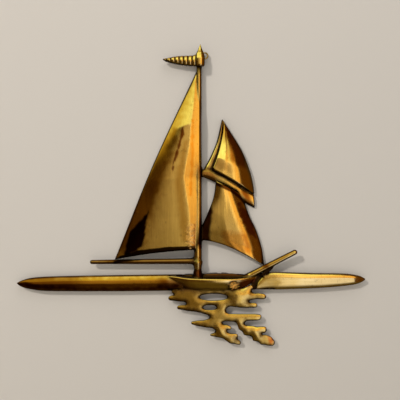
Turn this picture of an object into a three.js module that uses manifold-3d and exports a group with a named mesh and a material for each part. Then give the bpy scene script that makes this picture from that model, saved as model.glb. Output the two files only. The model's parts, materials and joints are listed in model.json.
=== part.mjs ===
// Hollow-backed cast brass wall sculpture of a sailing boat on the water, in millimetres.
// X runs to the right, Z up, and the front faces -Y. Y = 0 is the plane that the back rests against.
// The drawing is made from the mast line (X) and the foot of the hull (Z), and the last lines
// move it so that the hanging point is the origin. "Depth" is the distance out from the back plane.
import * as THREE from "three";
import { mergeVertices } from "three/addons/utils/BufferGeometryUtils.js";
import Module from "manifold-3d";

// Sizes of the whole casting
const SHELL = 2.8; // thickness of the metal in the hollow forms
const FLOAT = 7; // how far the thin pieces stand off the back plane
const BAR_DEPTH = 9; // thickness of the water bars at their crown
const RIPPLE_DEPTH = 5; // thickness of the reflection
const HANG = { x: 11.5, z: 477 }; // the inner top of the loop, which bears the weight

// Mainsail
const HEAD_Z = 440;
const CLEW = { x: -171, z: 61 };
const LEECH_ROACH = 5.5;
const SAIL_RIM = 5;
const SAIL_CROWN = 17;
const LUFF = { top: 4.4, foot: 4.6 };
const SAIL_FALL = 0.2; // how steeply the sail falls from its ridge to the mast
// Where the sail turns towards the mast, as [z, x] from the foot up
const SAIL_RIDGE = [
  [60, -17], [136, -19.4], [162, -22.4], [192, -26.8], [218, -30.6],
  [242, -26.8], [282, -19.4], [322, -16.6], [362, -12], [455, -5],
];

// Mast, from the deck to the spike
const MAST_TOP = { x: 0.2, z: 452, radius: 5, depth: 7.5 };
const MAST_FOOT = { x: -2.6, z: 26, radius: 8.2, depth: 11 };
const SPAR_DEPTH = 12;
const SPIKE_Z = 493.5;

// Boom and bowsprit
const BOOM = { left: -218, right: -4, zLeft: 57.9, zRight: 60, thin: 4.2, thick: 6.4 };
const SPRIT = { from: [86, 22.5], to: [195, 80.5], thick: 6.6, thin: 5.1, root: 7.4, depth: 17.5 };

// Pennant
const PENNANT = { tip: -73, mast: 3, pitch: 8.4, groove: 2.2, swell: 3.4, thick: 5.2 };

// Hanging loop
const LOOP = { wire: 1.4, radius: 6.1, depth: 5.1, gap: 0.3 };

const LEAST_FRONT = 0.6; // thickness left where a form rounds off to nothing
const CORE_SHARE = 0.7; // how many of a form's rows and columns its hollow has

const wasm = await Module();
wasm.setup();

// A closed three.js geometry as a solid that can be joined and cut.
function solid(geometry) {
  const plain = geometry.clone();
  plain.deleteAttribute("normal");
  plain.deleteAttribute("uv");
  const merged = mergeVertices(plain, 1e-4);
  return new wasm.Manifold(
    new wasm.Mesh({
      numProp: 3,
      vertProperties: merged.attributes.position.array,
      triVerts: new Uint32Array(merged.index.array),
    }),
  );
}

function geometryOf(body) {
  const mesh = body.getMesh();
  const geometry = new THREE.BufferGeometry();
  geometry.setAttribute("position", new THREE.BufferAttribute(mesh.vertProperties, 3));
  geometry.setIndex(new THREE.BufferAttribute(mesh.triVerts, 1));
  geometry.computeVertexNormals();
  return geometry;
}

function joined(bodies) {
  return bodies.reduce((all, body) => all.add(body));
}

const lerp = THREE.MathUtils.lerp;
const smooth = THREE.MathUtils.smoothstep;

// A smooth edge line through a few [x, z] points, as a function of 0 to 1.
function edge(...points) {
  const line = new THREE.SplineCurve(points.map(([x, z]) => new THREE.Vector2(x, z)));
  line.arcLengthDivisions = 60;
  return (t) => line.getPointAt(t);
}

// Reads a table of [place, value] rows in rising order, in straight lines between the rows.
function reading(table, at) {
  const above = table.findIndex(([place]) => place >= at);
  if (above === 0) return table[0][1];
  if (above < 0) return table[table.length - 1][1];
  const [low, from] = table[above - 1];
  const [high, to] = table[above];
  return lerp(from, to, (at - low) / (high - low));
}

// Rises from the start share to 1 in a straight line, and stays there after the crease.
function ramp(v, start, crease) {
  return Math.min(1, lerp(start, 1, v / crease));
}

// Swell with a crest that wanders down the form, gentle on its left and rolling away on its right.
function crested({ crest, leftShare, gain, lengthwise }) {
  return (u, v) => {
    const top = reading(crest, v);
    const left = leftShare * (Math.max(0, top - u) / top) ** 2;
    const right = (Math.max(0, u - top) / (1 - top)) ** (2.3 + gain * v);
    return lengthwise(v) * (1 - left - right);
  };
}

// Closes a grid of front points with a side round its border and a flat back.
function closedBody(front, backDepth) {
  const rows = front.length;
  const cols = front[0].length;
  const corners = [];
  const faces = [];
  front.forEach((row) => row.forEach((p) => corners.push(p.x, p.y, p.z)));
  const at = (r, c) => r * cols + c;
  for (let r = 0; r < rows - 1; r++) {
    for (let c = 0; c < cols - 1; c++) {
      faces.push(at(r, c), at(r + 1, c), at(r + 1, c + 1));
      faces.push(at(r, c), at(r + 1, c + 1), at(r, c + 1));
    }
  }
  const border = [];
  for (let r = 0; r < rows; r++) border.push(at(r, 0));
  for (let c = 1; c < cols; c++) border.push(at(rows - 1, c));
  for (let r = rows - 2; r >= 0; r--) border.push(at(r, cols - 1));
  for (let c = cols - 2; c > 0; c--) border.push(at(0, c));
  const first = rows * cols;
  const outline = border.map((i) => new THREE.Vector2(corners[3 * i], corners[3 * i + 2]));
  outline.forEach((p) => corners.push(p.x, -backDepth, p.y));
  border.forEach((i, k) => {
    const next = (k + 1) % border.length;
    faces.push(i, first + k, first + next, i, first + next, border[next]);
  });
  const turnsLeft = THREE.ShapeUtils.area(outline) > 0;
  THREE.ShapeUtils.triangulateShape(outline, []).forEach(([a, b, c]) =>
    faces.push(first + a, first + (turnsLeft ? c : b), first + (turnsLeft ? b : c)),
  );
  const geometry = new THREE.BufferGeometry();
  geometry.setAttribute("position", new THREE.Float32BufferAttribute(corners, 3));
  geometry.setIndex(faces);
  const body = solid(geometry);
  if (body.volume() > 0) return body;
  for (let f = 0; f < faces.length; f += 3) {
    [faces[f + 1], faces[f + 2]] = [faces[f + 2], faces[f + 1]];
  }
  geometry.setIndex(faces);
  return solid(geometry);
}

// A form between two edge lines that swells towards the front.
// bulge(u, v) is 0 to 1 across the form, and arch(u, v) lifts its rows.
// The hollow behind it is the same form made smaller by the wall's thickness.
function swelling(form) {
  const { left, right, rows, cols, rim, crown, bulge, hollow, arch = () => 0, back = 0, round = 4 } = form;
  const heightOf = (u) => left(0).lerp(right(0), u).distanceTo(left(1).lerp(right(1), u));
  const grid = (inset, sink, share = 1) => {
    const front = [];
    const down = Math.ceil(rows * share);
    const along = Math.ceil(cols * share);
    for (let r = 0; r <= down; r++) {
      const v = lerp(inset.top, 1 - inset.foot, easedStep(r / down));
      const a = left(v);
      const b = right(v);
      const width = a.distanceTo(b);
      const row = [];
      for (let c = 0; c <= along; c++) {
        const side = inset.side / width;
        const u = lerp(side, 1 - side, easedStep(c / along));
        const near = Math.min(u * width, (1 - u) * width, v * heightOf(u), (1 - v) * heightOf(u));
        const corner = round - Math.sqrt(Math.max(0, round ** 2 - Math.max(0, round - near) ** 2));
        const depth = back + rim + crown * bulge(u, v) - corner - sink;
        const x = lerp(a.x, b.x, u);
        const z = lerp(a.y, b.y, u) + arch(u, v);
        row.push(new THREE.Vector3(x, -Math.max(depth, back + LEAST_FRONT), z));
      }
      front.push(row);
    }
    return front;
  };
  const outer = closedBody(grid({ side: 0, top: 0, foot: 0 }, 0), back);
  if (!hollow) return { outer };
  const inset = { side: SHELL, top: hollow.top, foot: hollow.foot ?? SHELL / heightOf(0.5) };
  return { outer, core: closedBody(grid(inset, SHELL, CORE_SHARE), back - 2) };
}

// Steps that crowd towards both ends, where the edges are rounded.
function easedStep(t) {
  return lerp(t, (1 - Math.cos(Math.PI * t)) / 2, 0.75);
}

// A rounded bar with its axis on a line, turned from a profile of [along, radius].
function turned(start, end, profile, sides) {
  const axis = new THREE.Vector3().subVectors(end, start);
  const points = profile.map(([t, r]) => new THREE.Vector2(r, t * axis.length()));
  const geometry = new THREE.LatheGeometry(points, sides);
  const turn = new THREE.Quaternion().setFromUnitVectors(new THREE.Vector3(0, 1, 0), axis.normalize());
  geometry.applyQuaternion(turn);
  geometry.translate(start.x, start.y, start.z);
  return solid(geometry);
}

// Profile of a bar that tapers from one radius to the other and has round ends.
function roundEnded(length, from, to) {
  const profile = [];
  const steps = 3;
  for (let i = 0; i <= steps; i++) {
    const a = (i / steps) * (Math.PI / 2);
    profile.push([(from * (1 - Math.cos(a))) / length, from * Math.sin(a)]);
  }
  for (let i = steps; i >= 0; i--) {
    const a = (i / steps) * (Math.PI / 2);
    profile.push([1 - (to * (1 - Math.cos(a))) / length, to * Math.sin(a)]);
  }
  profile[0][1] = 0;
  profile[profile.length - 1][1] = 0;
  return profile;
}

function place(x, depth, z) {
  return new THREE.Vector3(x, -depth, z);
}

// Mainsail: a long triangle that slopes up to a crease below its head, swells across to a ridge
// and falls from there to the mast.
function mainsail() {
  const leechX = (v) => lerp(MAST_TOP.x - 7, CLEW.x, v) - LEECH_ROACH * Math.sin(Math.PI * v) ** 1.5;
  const luffX = (v) => lerp(LUFF.top, LUFF.foot, v);
  const bulge = (u, v) => {
    const width = luffX(v) - leechX(v);
    const ridge = luffX(v) - reading(SAIL_RIDGE, lerp(HEAD_Z, CLEW.z, v));
    const turn = 1 - Math.min(ridge, 0.6 * width) / width;
    const across = Math.sin((Math.PI / 2) * Math.min(1, u / turn));
    const fall = SAIL_FALL * Math.max(0, u - turn) * width;
    return ramp(v, 0.25, 0.3) * (1 - 0.1 * v) * across - fall / SAIL_CROWN;
  };
  return swelling({
    left: (v) => new THREE.Vector2(leechX(v), lerp(HEAD_Z, CLEW.z, v)),
    right: (v) => new THREE.Vector2(luffX(v), lerp(HEAD_Z, CLEW.z + 22, v)),
    rows: 18,
    cols: 15,
    rim: SAIL_RIM,
    crown: SAIL_CROWN,
    round: 4.5,
    bulge,
    arch: (u, v) => 4 * v ** 8 * Math.sin(Math.PI * u),
    hollow: { top: 0.12 },
  });
}

// Upper jib: a swelling panel, with a folded band down its luff and along its foot.
function upperJib() {
  const leech = edge([47, 345], [61.5, 323], [86.3, 282.5], [102.8, 242], [110, 212], [112, 193]);
  const grooveLuff = edge([46.5, 345], [48, 325], [39.5, 281], [26, 243]);
  const panel = swelling({
    left: grooveLuff,
    right: leech,
    rows: 12,
    cols: 10,
    rim: 6,
    crown: 18,
    round: 3,
    bulge: crested({
      crest: [[0, 0.3], [0.3, 0.17], [0.5, 0.2], [1, 0.24]],
      leftShare: 0.2,
      gain: 1.2,
      lengthwise: (v) => ramp(v, 0.08, 0.75),
    }),
    arch: (u, v) => 1.5 * v ** 4 * Math.sin(Math.PI * u),
    hollow: { top: 0.2 },
  });
  const luffBand = swelling({
    left: edge([45.5, 344], [36, 302], [28, 281], [19, 262], [6, 240], [2, 236]),
    right: edge([49, 340], [47, 310], [40, 279], [27, 242], [22, 226]),
    rows: 10,
    cols: 4,
    rim: 6,
    crown: 4,
    round: 3,
    bulge: (u) => Math.sin(Math.PI * u),
  });
  const footBand = swelling({
    left: edge([1, 238], [16, 246], [44, 236.5], [64, 225], [83, 213], [98, 203], [111, 194]),
    right: edge([1, 230], [20, 222.5], [43, 212], [63, 203], [80, 190], [94, 175], [113, 165.5]),
    rows: 12,
    cols: 6,
    rim: 6,
    crown: 5,
    round: 3,
    bulge: (u, v) => {
      const across = 1 - 0.6 * Math.abs(2 * u - 1) ** 2.5;
      return across - 0.85 * smooth(v, 0.4, 1.05) + 0.34 * (u - 0.5) * smooth(v, 0.35, 0.5);
    },
  });
  return [panel, luffBand, footBand];
}

// Lower jib: hangs from the band and runs down to the bowsprit.
function lowerJib() {
  return swelling({
    left: edge([33, 222], [31, 199], [26, 178], [14, 149], [5, 128], [0, 101]),
    right: edge([86, 196], [102, 151], [113.5, 127], [122, 104], [128, 82], [131, 62], [133, 49]),
    rows: 14,
    cols: 12,
    rim: 5,
    crown: 14,
    round: 4,
    bulge: crested({
      crest: [[0, 0.26], [0.25, 0.31], [0.5, 0.33], [0.7, 0.4], [0.85, 0.45], [1, 0.6]],
      leftShare: 0.45,
      gain: 2,
      lengthwise: (v) => 0.88 + 0.12 * Math.sin(Math.PI * Math.min(1, v + 0.15)),
    }),
    arch: (u, v) => 10 * v ** 5 * Math.sin(Math.PI * u ** 0.8),
    hollow: { top: 0.06 },
  });
}

// Hull: half a boat, with a deck that rises towards the back.
function hull() {
  const body = swelling({
    left: edge([-70, 30], [-48, 30], [-18, 27], [42, 26], [72, 26], [100, 28.5], [117, 31]),
    right: edge(
      [-68, 26], [-50, 14], [-34, 7], [-16, 1.5], [22, 0],
      [52, 0], [76, 1.5], [100, 11], [117, 26],
    ),
    rows: 16,
    cols: 7,
    rim: 8,
    crown: 17,
    round: 2.5,
    bulge: (u, v) => Math.sin(Math.PI * v) ** 0.6 * (1 - 0.85 * u ** 2.2),
    hollow: { top: 0.16, foot: 0.1 },
  });
  const deck = swelling({
    left: edge([-40, 32.5], [0, 34], [50, 35.5], [104, 32]),
    right: edge([-44, 24], [0, 23], [50, 22], [108, 25]),
    rows: 8,
    cols: 3,
    rim: 8,
    crown: 6,
    round: 3,
    bulge: (u, v) => Math.sin(Math.PI * v) ** 0.6,
  });
  return { outer: body.outer.add(deck.outer), core: body.core };
}

// The water on each side of the hull: two long bars with round tips.
function waterBars() {
  const leftBar = swelling({
    left: edge([-366, 15.5], [-356, 20.5], [-336, 25.8], [-300, 28.4], [-236, 30], [-150, 31.5], [-30, 33]),
    right: edge([-366, 14.5], [-356, 7.5], [-336, 2.3], [-300, -1.2], [-178, -1.6], [-100, -1], [-30, 0]),
    rows: 20,
    cols: 6,
    rim: 3.5,
    crown: BAR_DEPTH - 3.5,
    back: FLOAT,
    round: 3,
    bulge: (u, v) => Math.sin(Math.PI * u) ** 0.8 * smooth(v, -0.02, 0.12),
    hollow: { top: 0.08, foot: 0.24 },
  });
  const rightBar = swelling({
    left: edge(
      [114, 5], [115.5, 14], [120, 21.5], [126, 28.5], [131, 34],
      [150, 37.8], [222, 35.6], [290, 34.6], [320, 30.5], [334, 24],
    ),
    right: edge(
      [115, 3], [122, 2.2], [140, 2.2], [172, 2.4], [242, 5],
      [290, 9], [314, 12.6], [328, 17.8], [334, 22.5],
    ),
    rows: 18,
    cols: 6,
    rim: 3.5,
    crown: BAR_DEPTH - 3.5,
    back: FLOAT,
    round: 3,
    bulge: (u, v) => (1.05 - 0.55 * Math.abs(2 * u - 1) ** 3 - 0.45 * u) * smooth(1 - v, -0.02, 0.12),
    hollow: { top: 0.12, foot: 0.1 },
  });
  // Webs in the corner between the right-hand bar and the bowsprit, and between the bar and the bow.
  const spritWeb = swelling({
    left: edge([121, 31], [128, 38], [145, 52]),
    right: edge([131, 27], [139, 36], [152, 50]),
    rows: 4,
    cols: 3,
    rim: 7,
    crown: 1,
    back: FLOAT,
    round: 2,
    bulge: () => 1,
  });
  const bowWeb = swelling({
    left: edge([108, 36], [106, 22], [104, 2]),
    right: edge([134, 36], [121, 22], [117, 3]),
    rows: 4,
    cols: 3,
    rim: 3,
    crown: 0.5,
    back: FLOAT,
    round: 1,
    bulge: () => 1,
  });
  return [leftBar, rightBar, spritWeb, bowWeb];
}

// The reflection is a set of strokes, each a run of [x, z, radius] that widens and narrows.
const STROKES = {
  shoulder: [[-46, -4, 9], [-22, -14, 14], [-6, -30, 12], [14, -43, 4.4], [30, -46, 8]],
  waterline: [[-30, 0, 8], [32, 0, 6], [82, -1, 6.4]],
  bowWeb: [[92, -2, 8], [104, 7, 4.6]],
  rightMass: [[74, -4, 8], [82, -14, 13], [98, -9, 9]],
  bridge: [[-4, -24.5, 5], [58, -24.5, 5]],
  roundTheWindows: [[0, -12, 9], [62, -12, 9], [58, -26, 6], [40, -33, 8], [8, -33.6, 9]],
  column: [
    [47, -24, 9], [46, -38, 8.4], [39, -52, 14], [33, -64, 11], [44, -80, 8.4], [54, -90, 7.6],
    [65, -99, 7.2], [80, -104.6, 4.2],
  ],
  rightStream: [
    [79, -58, 7], [88, -73, 9], [100, -80, 11], [112, -88, 12.5], [125, -96, 12], [139, -100.5, 10],
    [146, -104, 6.5],
  ],
  scallops: [[95, -84, 6], [96, -84, 6]],
  lowScallop: [[115, -96, 6], [116, -96, 6]],
};
// Each finger runs from its tip to its root.
const FINGERS = [
  [[-57, -14.6, 4.4], [-32, -13, 10]],
  [[-41, -33.6, 3.4], [-18, -33, 8.6]],
  [[-13, -64.6, 3.4], [12, -65.6, 7.6], [32, -64, 10]],
  [[24, -88.6, 2.6], [46, -87, 7.6]],
  [[129, -11.6, 5.8], [116, -10.6, 5.6], [100, -12, 8]],
  [[112, -29.4, 4.8], [98, -29, 5.4], [84, -26, 8], [66, -24, 7]],
  [[118, -52, 7.4], [104, -53, 6.8], [80, -53.8, 8], [50, -53, 9]],
  [[129, -77.6, 7], [116, -79.6, 7], [102, -80, 10]],
  [[61, -73, 4.8], [44, -72.6, 5]],
  [[74, -90.4, 5.2], [58, -92, 6]],
];
// The bays between the fingers, each cut from its round end outwards
const BAYS = [
  [[-28, -25.4, 3], [-38, -25.2, 3.6], [-60, -26, 5.4]],
  [[16.5, -52, 3.6], [2, -50.5, 6.6], [-20, -51, 10.4], [-50, -54, 15]],
  [[31, -80.6, 2.8], [20, -81, 4.8], [0, -84, 10.4], [-30, -86, 16]],
  [[-51, -7, 1.6], [-58, -6.6, 2], [-72, -5, 3]],
  [[102, -19.8, 1.4], [112, -19.8, 2], [135, -20, 3.6]],
  [[62, -40, 5.8], [80, -40.2, 6.2], [112, -40.6, 5.8], [135, -41.5, 7]],
  [[94.5, -65, 4], [112, -66, 4.8], [135, -66.5, 5.4]],
  [[126.5, -86.6, 1.6], [136, -86.5, 2.4], [150, -84, 5]],
  [
    [47.6, -63.6, 2], [56, -64.4, 3.2], [67, -67.5, 4.4], [72, -76, 4.8], [80, -84, 4.2],
    [87, -93, 5], [93, -97, 6], [104, -108, 8], [112, -116, 8],
  ],
  [[80, -83, 4.5], [84, -85, 4.5]],
  [[92, -96, 6.5], [100, -97.5, 7.5]],
  [[104, -108, 8], [115, -110, 8]],
  [[59, -80, 2], [70, -80, 3]],
  [[79, -95, 1.8], [90, -97, 5]],
];
// The two oval windows, as [x, z, half width, half height]
const OVALS = [
  [29, -12.6, 29, 6.6],
  [21.6, -33.4, 14.6, 4.8],
];
const FLOW = 1.6; // how far the strokes flow into each other
const WAVER = 0.6; // how far the outline wavers

// Distance from a point to a run that widens along its length, negative inside.
function toRun(x, z, run) {
  let nearest = Infinity;
  for (let i = 0; i + 1 < run.length; i++) {
    const [ax, az, ar] = run[i];
    const [bx, bz, br] = run[i + 1];
    const along = ((x - ax) * (bx - ax) + (z - az) * (bz - az)) / ((bx - ax) ** 2 + (bz - az) ** 2);
    const t = THREE.MathUtils.clamp(along, 0, 1);
    const distance = Math.hypot(x - lerp(ax, bx, t), z - lerp(az, bz, t)) - lerp(ar, br, t);
    nearest = Math.min(nearest, distance);
  }
  return nearest;
}

// Negative inside the reflection, whose strokes flow into each other before the bays are cut.
function ripples(x, z) {
  const all = [...Object.values(STROKES), ...FINGERS];
  const total = all.reduce((sum, run) => sum + Math.exp(-toRun(x, z, run) / FLOW), 0);
  const waver = WAVER * Math.sin(x / 5 + z / 9) * Math.sin(z / 6 - x / 12);
  let solidity = -FLOW * Math.log(total) + waver;
  for (const bay of BAYS) {
    solidity = Math.max(solidity, -toRun(x, z, bay));
  }
  for (const [cx, cz, a, b] of OVALS) {
    const away = Math.hypot((x - cx) / a, (z - cz) / b);
    const steep = Math.hypot((x - cx) / a ** 2, (z - cz) / b ** 2) + 1e-9;
    solidity = Math.max(solidity, (away * (1 - away)) / steep);
  }
  return solidity;
}

// Closed outlines of the area where a function is negative, walked cell by cell.
function outlines(field, { x0, x1, z0, z1, step }) {
  const nearCorner = 0.12;
  const values = new Map();
  const value = (i, k) => {
    const key = i * 10000 + k;
    if (!values.has(key)) values.set(key, field(x0 + i * step, z0 + k * step));
    return values.get(key);
  };
  const crossing = (i, k, j, l) => {
    const share = value(i, k) / (value(i, k) - value(j, l));
    const t = THREE.MathUtils.clamp(share, nearCorner, 1 - nearCorner);
    return { key: `${i},${k},${j},${l}`, point: [x0 + lerp(i, j, t) * step, z0 + lerp(k, l, t) * step] };
  };
  const next = new Map();
  const across = Math.ceil((x1 - x0) / step);
  const up = Math.ceil((z1 - z0) / step);
  for (let i = 0; i < across; i++) {
    for (let k = 0; k < up; k++) {
      const ring = [[i, k], [i + 1, k], [i + 1, k + 1], [i, k + 1]];
      const inside = ring.map(([a, b]) => value(a, b) < 0);
      for (let s = 0; s < 4; s++) {
        if (!inside[s] || inside[(s + 1) % 4]) continue;
        let e = s;
        while (inside[e]) e = (e + 3) % 4;
        const leaves = sortedCrossing(ring[s], ring[(s + 1) % 4], crossing);
        const enters = sortedCrossing(ring[e], ring[(e + 1) % 4], crossing);
        next.set(leaves.key, { to: enters.key, point: leaves.point });
      }
    }
  }
  const loops = [];
  while (next.size) {
    const loop = [];
    let key = next.keys().next().value;
    while (next.has(key)) {
      const here = next.get(key);
      next.delete(key);
      loop.push(new THREE.Vector2(...here.point));
      key = here.to;
    }
    loops.push(loop);
  }
  return loops;
}

// A grid edge gets the same crossing from the cells on its two sides.
function sortedCrossing(a, b, crossing) {
  const forward = a[0] < b[0] || (a[0] === b[0] && a[1] < b[1]);
  return forward ? crossing(...a, ...b) : crossing(...b, ...a);
}

// The same outline in even steps.
function evenSteps(loop, step) {
  const line = new THREE.CatmullRomCurve3(loop.map((p) => new THREE.Vector3(p.x, p.y, 0)), true);
  line.arcLengthDivisions = 4 * loop.length;
  const count = Math.round(line.getLength() / step);
  return line.getSpacedPoints(count).slice(0, -1).map((p) => new THREE.Vector2(p.x, p.y));
}

// Reflection: one flat plate with rounded rims and open bays.
function reflection() {
  const area = (loop) => Math.abs(THREE.ShapeUtils.area(loop));
  const smallestBay = 40;
  const loops = outlines(ripples, { x0: -72, x1: 164, z0: -122, z1: 36, step: 2.5 })
    .filter((loop) => area(loop) > smallestBay)
    .map((loop) => evenSteps(loop, 4.2));
  loops.sort((a, b) => area(b) - area(a));
  const shape = new THREE.Shape(loops[0]);
  shape.holes = loops.slice(1).map((loop) => new THREE.Path(loop));
  const rim = 1.3;
  const geometry = new THREE.ExtrudeGeometry(shape, {
    depth: RIPPLE_DEPTH - 2 * rim,
    bevelThickness: rim,
    bevelSize: rim,
    bevelOffset: -rim,
    bevelSegments: 1,
    curveSegments: 1,
  });
  geometry.rotateX(Math.PI / 2);
  geometry.translate(0, -FLOAT - rim, 0);
  return solid(geometry);
}

// Mast: a tapered bar with a splayed foot and a knot where the boom meets it.
function mast() {
  const start = place(MAST_FOOT.x, MAST_FOOT.depth, MAST_FOOT.z);
  const end = place(MAST_TOP.x, MAST_TOP.depth, MAST_TOP.z + 8);
  const length = start.distanceTo(end);
  const { radius } = MAST_FOOT;
  const profile = [
    [0, 0],
    [0, radius + 2.6],
    [8 / length, radius + 1.6],
    [16 / length, radius],
    [24 / length, radius],
    [27 / length, radius + 1.8],
    [33 / length, radius + 1.8],
    [37 / length, radius],
    [60 / length, radius],
    [1, MAST_TOP.radius],
    [1, 0],
  ];
  return turned(start, end, profile, 16);
}

// Pennant: streams to the left from a barrel round the masthead, with ribs across it.
function pennant() {
  const flag = swelling({
    left: edge([PENNANT.tip, 464.5], [-45, 470], [-27, 471], [-10, 472.5], [PENNANT.mast, 480]),
    right: edge([PENNANT.tip + 1, 463], [-64, 458.6], [-45, 454.2], [-27, 451.4], [PENNANT.mast, 449]),
    rows: 36,
    cols: 5,
    rim: PENNANT.thick,
    crown: 1,
    back: FLOAT,
    round: 2.2,
    bulge: (u, v) => {
      const x = lerp(PENNANT.tip, PENNANT.mast, v);
      const fromMast = (PENNANT.mast - x) / PENNANT.pitch;
      const rib = 1 - Math.abs(Math.sin(Math.PI * fromMast)) ** 0.5;
      return PENNANT.swell * Math.sin(Math.PI * u) ** 0.8 - PENNANT.groove * rib;
    },
  });
  const barrel = new THREE.LatheGeometry(
    [[0, 448], [7.2, 448.5], [9, 451], [9.6, 464], [8.2, 474], [5.2, 480], [3.6, 484], [0, SPIKE_Z]].map(
      ([r, z]) => new THREE.Vector2(r, z),
    ),
    16,
  );
  barrel.rotateX(Math.PI / 2);
  barrel.scale(1, 0.75, 1);
  barrel.translate(2.4, -SPAR_DEPTH - 2, 0);
  const padBack = LOOP.depth + LOOP.wire + LOOP.gap;
  const pad = new THREE.BoxGeometry(9, 4, 9);
  pad.translate(4.5, -padBack - 2, 471);
  return [flag.outer, solid(barrel), solid(pad)];
}

// Boom: a thin round bar that thickens towards the mast.
function boom() {
  const start = place(BOOM.left, SPAR_DEPTH, BOOM.zLeft);
  const end = place(BOOM.right, SPAR_DEPTH, BOOM.zRight);
  return turned(start, end, roundEnded(start.distanceTo(end), BOOM.thin, BOOM.thick), 12);
}

// Bowsprit: a round bar that leans up and forward from the bow, over the right-hand bar.
function bowsprit() {
  const start = place(SPRIT.from[0], SPRIT.root, SPRIT.from[1]);
  const end = place(SPRIT.to[0], SPRIT.depth, SPRIT.to[1]);
  return turned(start, end, roundEnded(start.distanceTo(end), SPRIT.thick, SPRIT.thin), 12);
}

function casting() {
  const forms = [mainsail(), lowerJib(), hull(), ...upperJib(), ...waterBars()];
  const outers = forms.map((form) => form.outer);
  const cores = forms.filter((form) => form.core).map((form) => form.core);
  const shell = joined([...outers, mast(), reflection()]).subtract(joined(cores));
  return joined([shell, boom(), bowsprit(), ...pennant()]);
}

// Hanging loop: a wire ring fixed behind the masthead, parallel to the back plane.
function hangingLoop() {
  const ring = new THREE.TorusGeometry(LOOP.radius, LOOP.wire, 8, 24);
  ring.rotateX(Math.PI / 2);
  const centreZ = HANG.z - (LOOP.radius - LOOP.wire);
  ring.translate(HANG.x, -LOOP.depth, centreZ);
  return solid(ring);
}

const brass = new THREE.MeshStandardMaterial({ color: 0xb08a3a, roughness: 0.28, metalness: 1 });
const wire = new THREE.MeshStandardMaterial({ color: 0x7a6434, roughness: 0.45, metalness: 1 });

const body = casting();
const loop = hangingLoop();

const castingMesh = new THREE.Mesh(geometryOf(body), brass);
castingMesh.name = "sailboat_casting";
const loopMesh = new THREE.Mesh(geometryOf(loop), wire);
loopMesh.name = "hanging_loop";

const sculpture = new THREE.Group();
sculpture.add(castingMesh, loopMesh);
sculpture.position.set(-HANG.x, 0, -HANG.z);

export default sculpture;
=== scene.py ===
"""Brass wall sculpture of a sailing boat: the fine surface, finishes and studio of a hollow-backed casting.

The frame is in metres, with the hanging point as origin. The drawing below is in millimetres from the
mast line and the foot of the hull, as the casting's pattern was, and "depth" is the distance from the
flat back plane to the front.
"""
import json
import math

import bmesh
import bpy
import numpy as np
from mathutils import Matrix, Vector, geometry, noise

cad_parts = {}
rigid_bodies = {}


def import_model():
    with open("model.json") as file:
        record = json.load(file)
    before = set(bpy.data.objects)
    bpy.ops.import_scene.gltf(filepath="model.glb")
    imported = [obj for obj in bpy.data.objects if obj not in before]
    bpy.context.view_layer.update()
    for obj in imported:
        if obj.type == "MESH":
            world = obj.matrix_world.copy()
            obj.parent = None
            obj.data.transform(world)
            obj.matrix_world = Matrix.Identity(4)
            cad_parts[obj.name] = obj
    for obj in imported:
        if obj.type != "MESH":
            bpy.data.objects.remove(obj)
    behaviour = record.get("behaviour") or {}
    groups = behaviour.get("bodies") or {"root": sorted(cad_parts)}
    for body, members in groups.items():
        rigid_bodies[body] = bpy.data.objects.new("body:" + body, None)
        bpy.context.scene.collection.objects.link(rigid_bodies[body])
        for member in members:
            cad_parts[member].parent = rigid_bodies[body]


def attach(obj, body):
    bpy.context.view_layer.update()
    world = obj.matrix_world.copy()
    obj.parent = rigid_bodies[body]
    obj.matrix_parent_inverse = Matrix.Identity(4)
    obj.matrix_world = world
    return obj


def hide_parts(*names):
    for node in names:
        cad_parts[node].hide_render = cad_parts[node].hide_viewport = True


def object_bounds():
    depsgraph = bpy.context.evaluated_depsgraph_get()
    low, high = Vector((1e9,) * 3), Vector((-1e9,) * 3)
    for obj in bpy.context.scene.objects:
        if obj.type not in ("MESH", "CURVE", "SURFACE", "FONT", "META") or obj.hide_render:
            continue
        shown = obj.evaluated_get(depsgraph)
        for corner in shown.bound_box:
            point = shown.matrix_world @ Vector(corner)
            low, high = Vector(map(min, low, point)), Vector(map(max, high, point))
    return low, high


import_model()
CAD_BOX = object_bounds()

bl_info = {
    "name": "Brass Sailing Boat Wall Sculpture",
    "version": (1, 0, 0),
    "blender": (4, 5, 0),
    "location": "View3D > Sidebar > Sculpture",
    "description": "Builds the casting, its loop and the studio around the packed frame",
    "category": "Object",
}

MM = 0.001
# The hanging point in the drawing, in mm
HANG_X, HANG_Z = 11.5, 477.0
# Material slots of the polished front and the sand-cast back
FRONT, BACK = 0, 1
# Names of the solids that the two pieces replace
CASTING, LOOP = "sailboat_casting", "hanging_loop"
# Thickness of the metal over a hollow, and the least depth of a front over its back, in mm
SHELL, LEAST_FRONT = 2.8, 0.6
# How far a hollow's core reaches out of the back, in mm, so that it cuts right through
CORE_REACH = 2
# Points closer than this, in metres, are one point
TOUCHING = 0.000002


def row_point(x, depth, z):
    """A point of the drawing in the row frame, in metres."""
    return Vector(((x - HANG_X) * MM, -depth * MM, (z - HANG_Z) * MM))


def mix(a, b, t):
    """The value a share t of the way from a to b."""
    return a + (b - a) * t


def smooth(x, low, high):
    """0 at low and 1 at high, with an eased change between them. Either may be the larger."""
    t = np.clip((x - low) / (high - low), 0, 1)
    return t * t * (3 - 2 * t)


def ramp(v, start, crease):
    """Rises from the start share to 1 in a straight line, and stays there after the crease."""
    return np.minimum(1, mix(start, 1, np.asarray(v) / crease))


def eased(t):
    """Steps that crowd towards both ends, where the edges are rounded."""
    crowding = 0.75
    return mix(t, (1 - np.cos(np.pi * t)) / 2, crowding)


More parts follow.
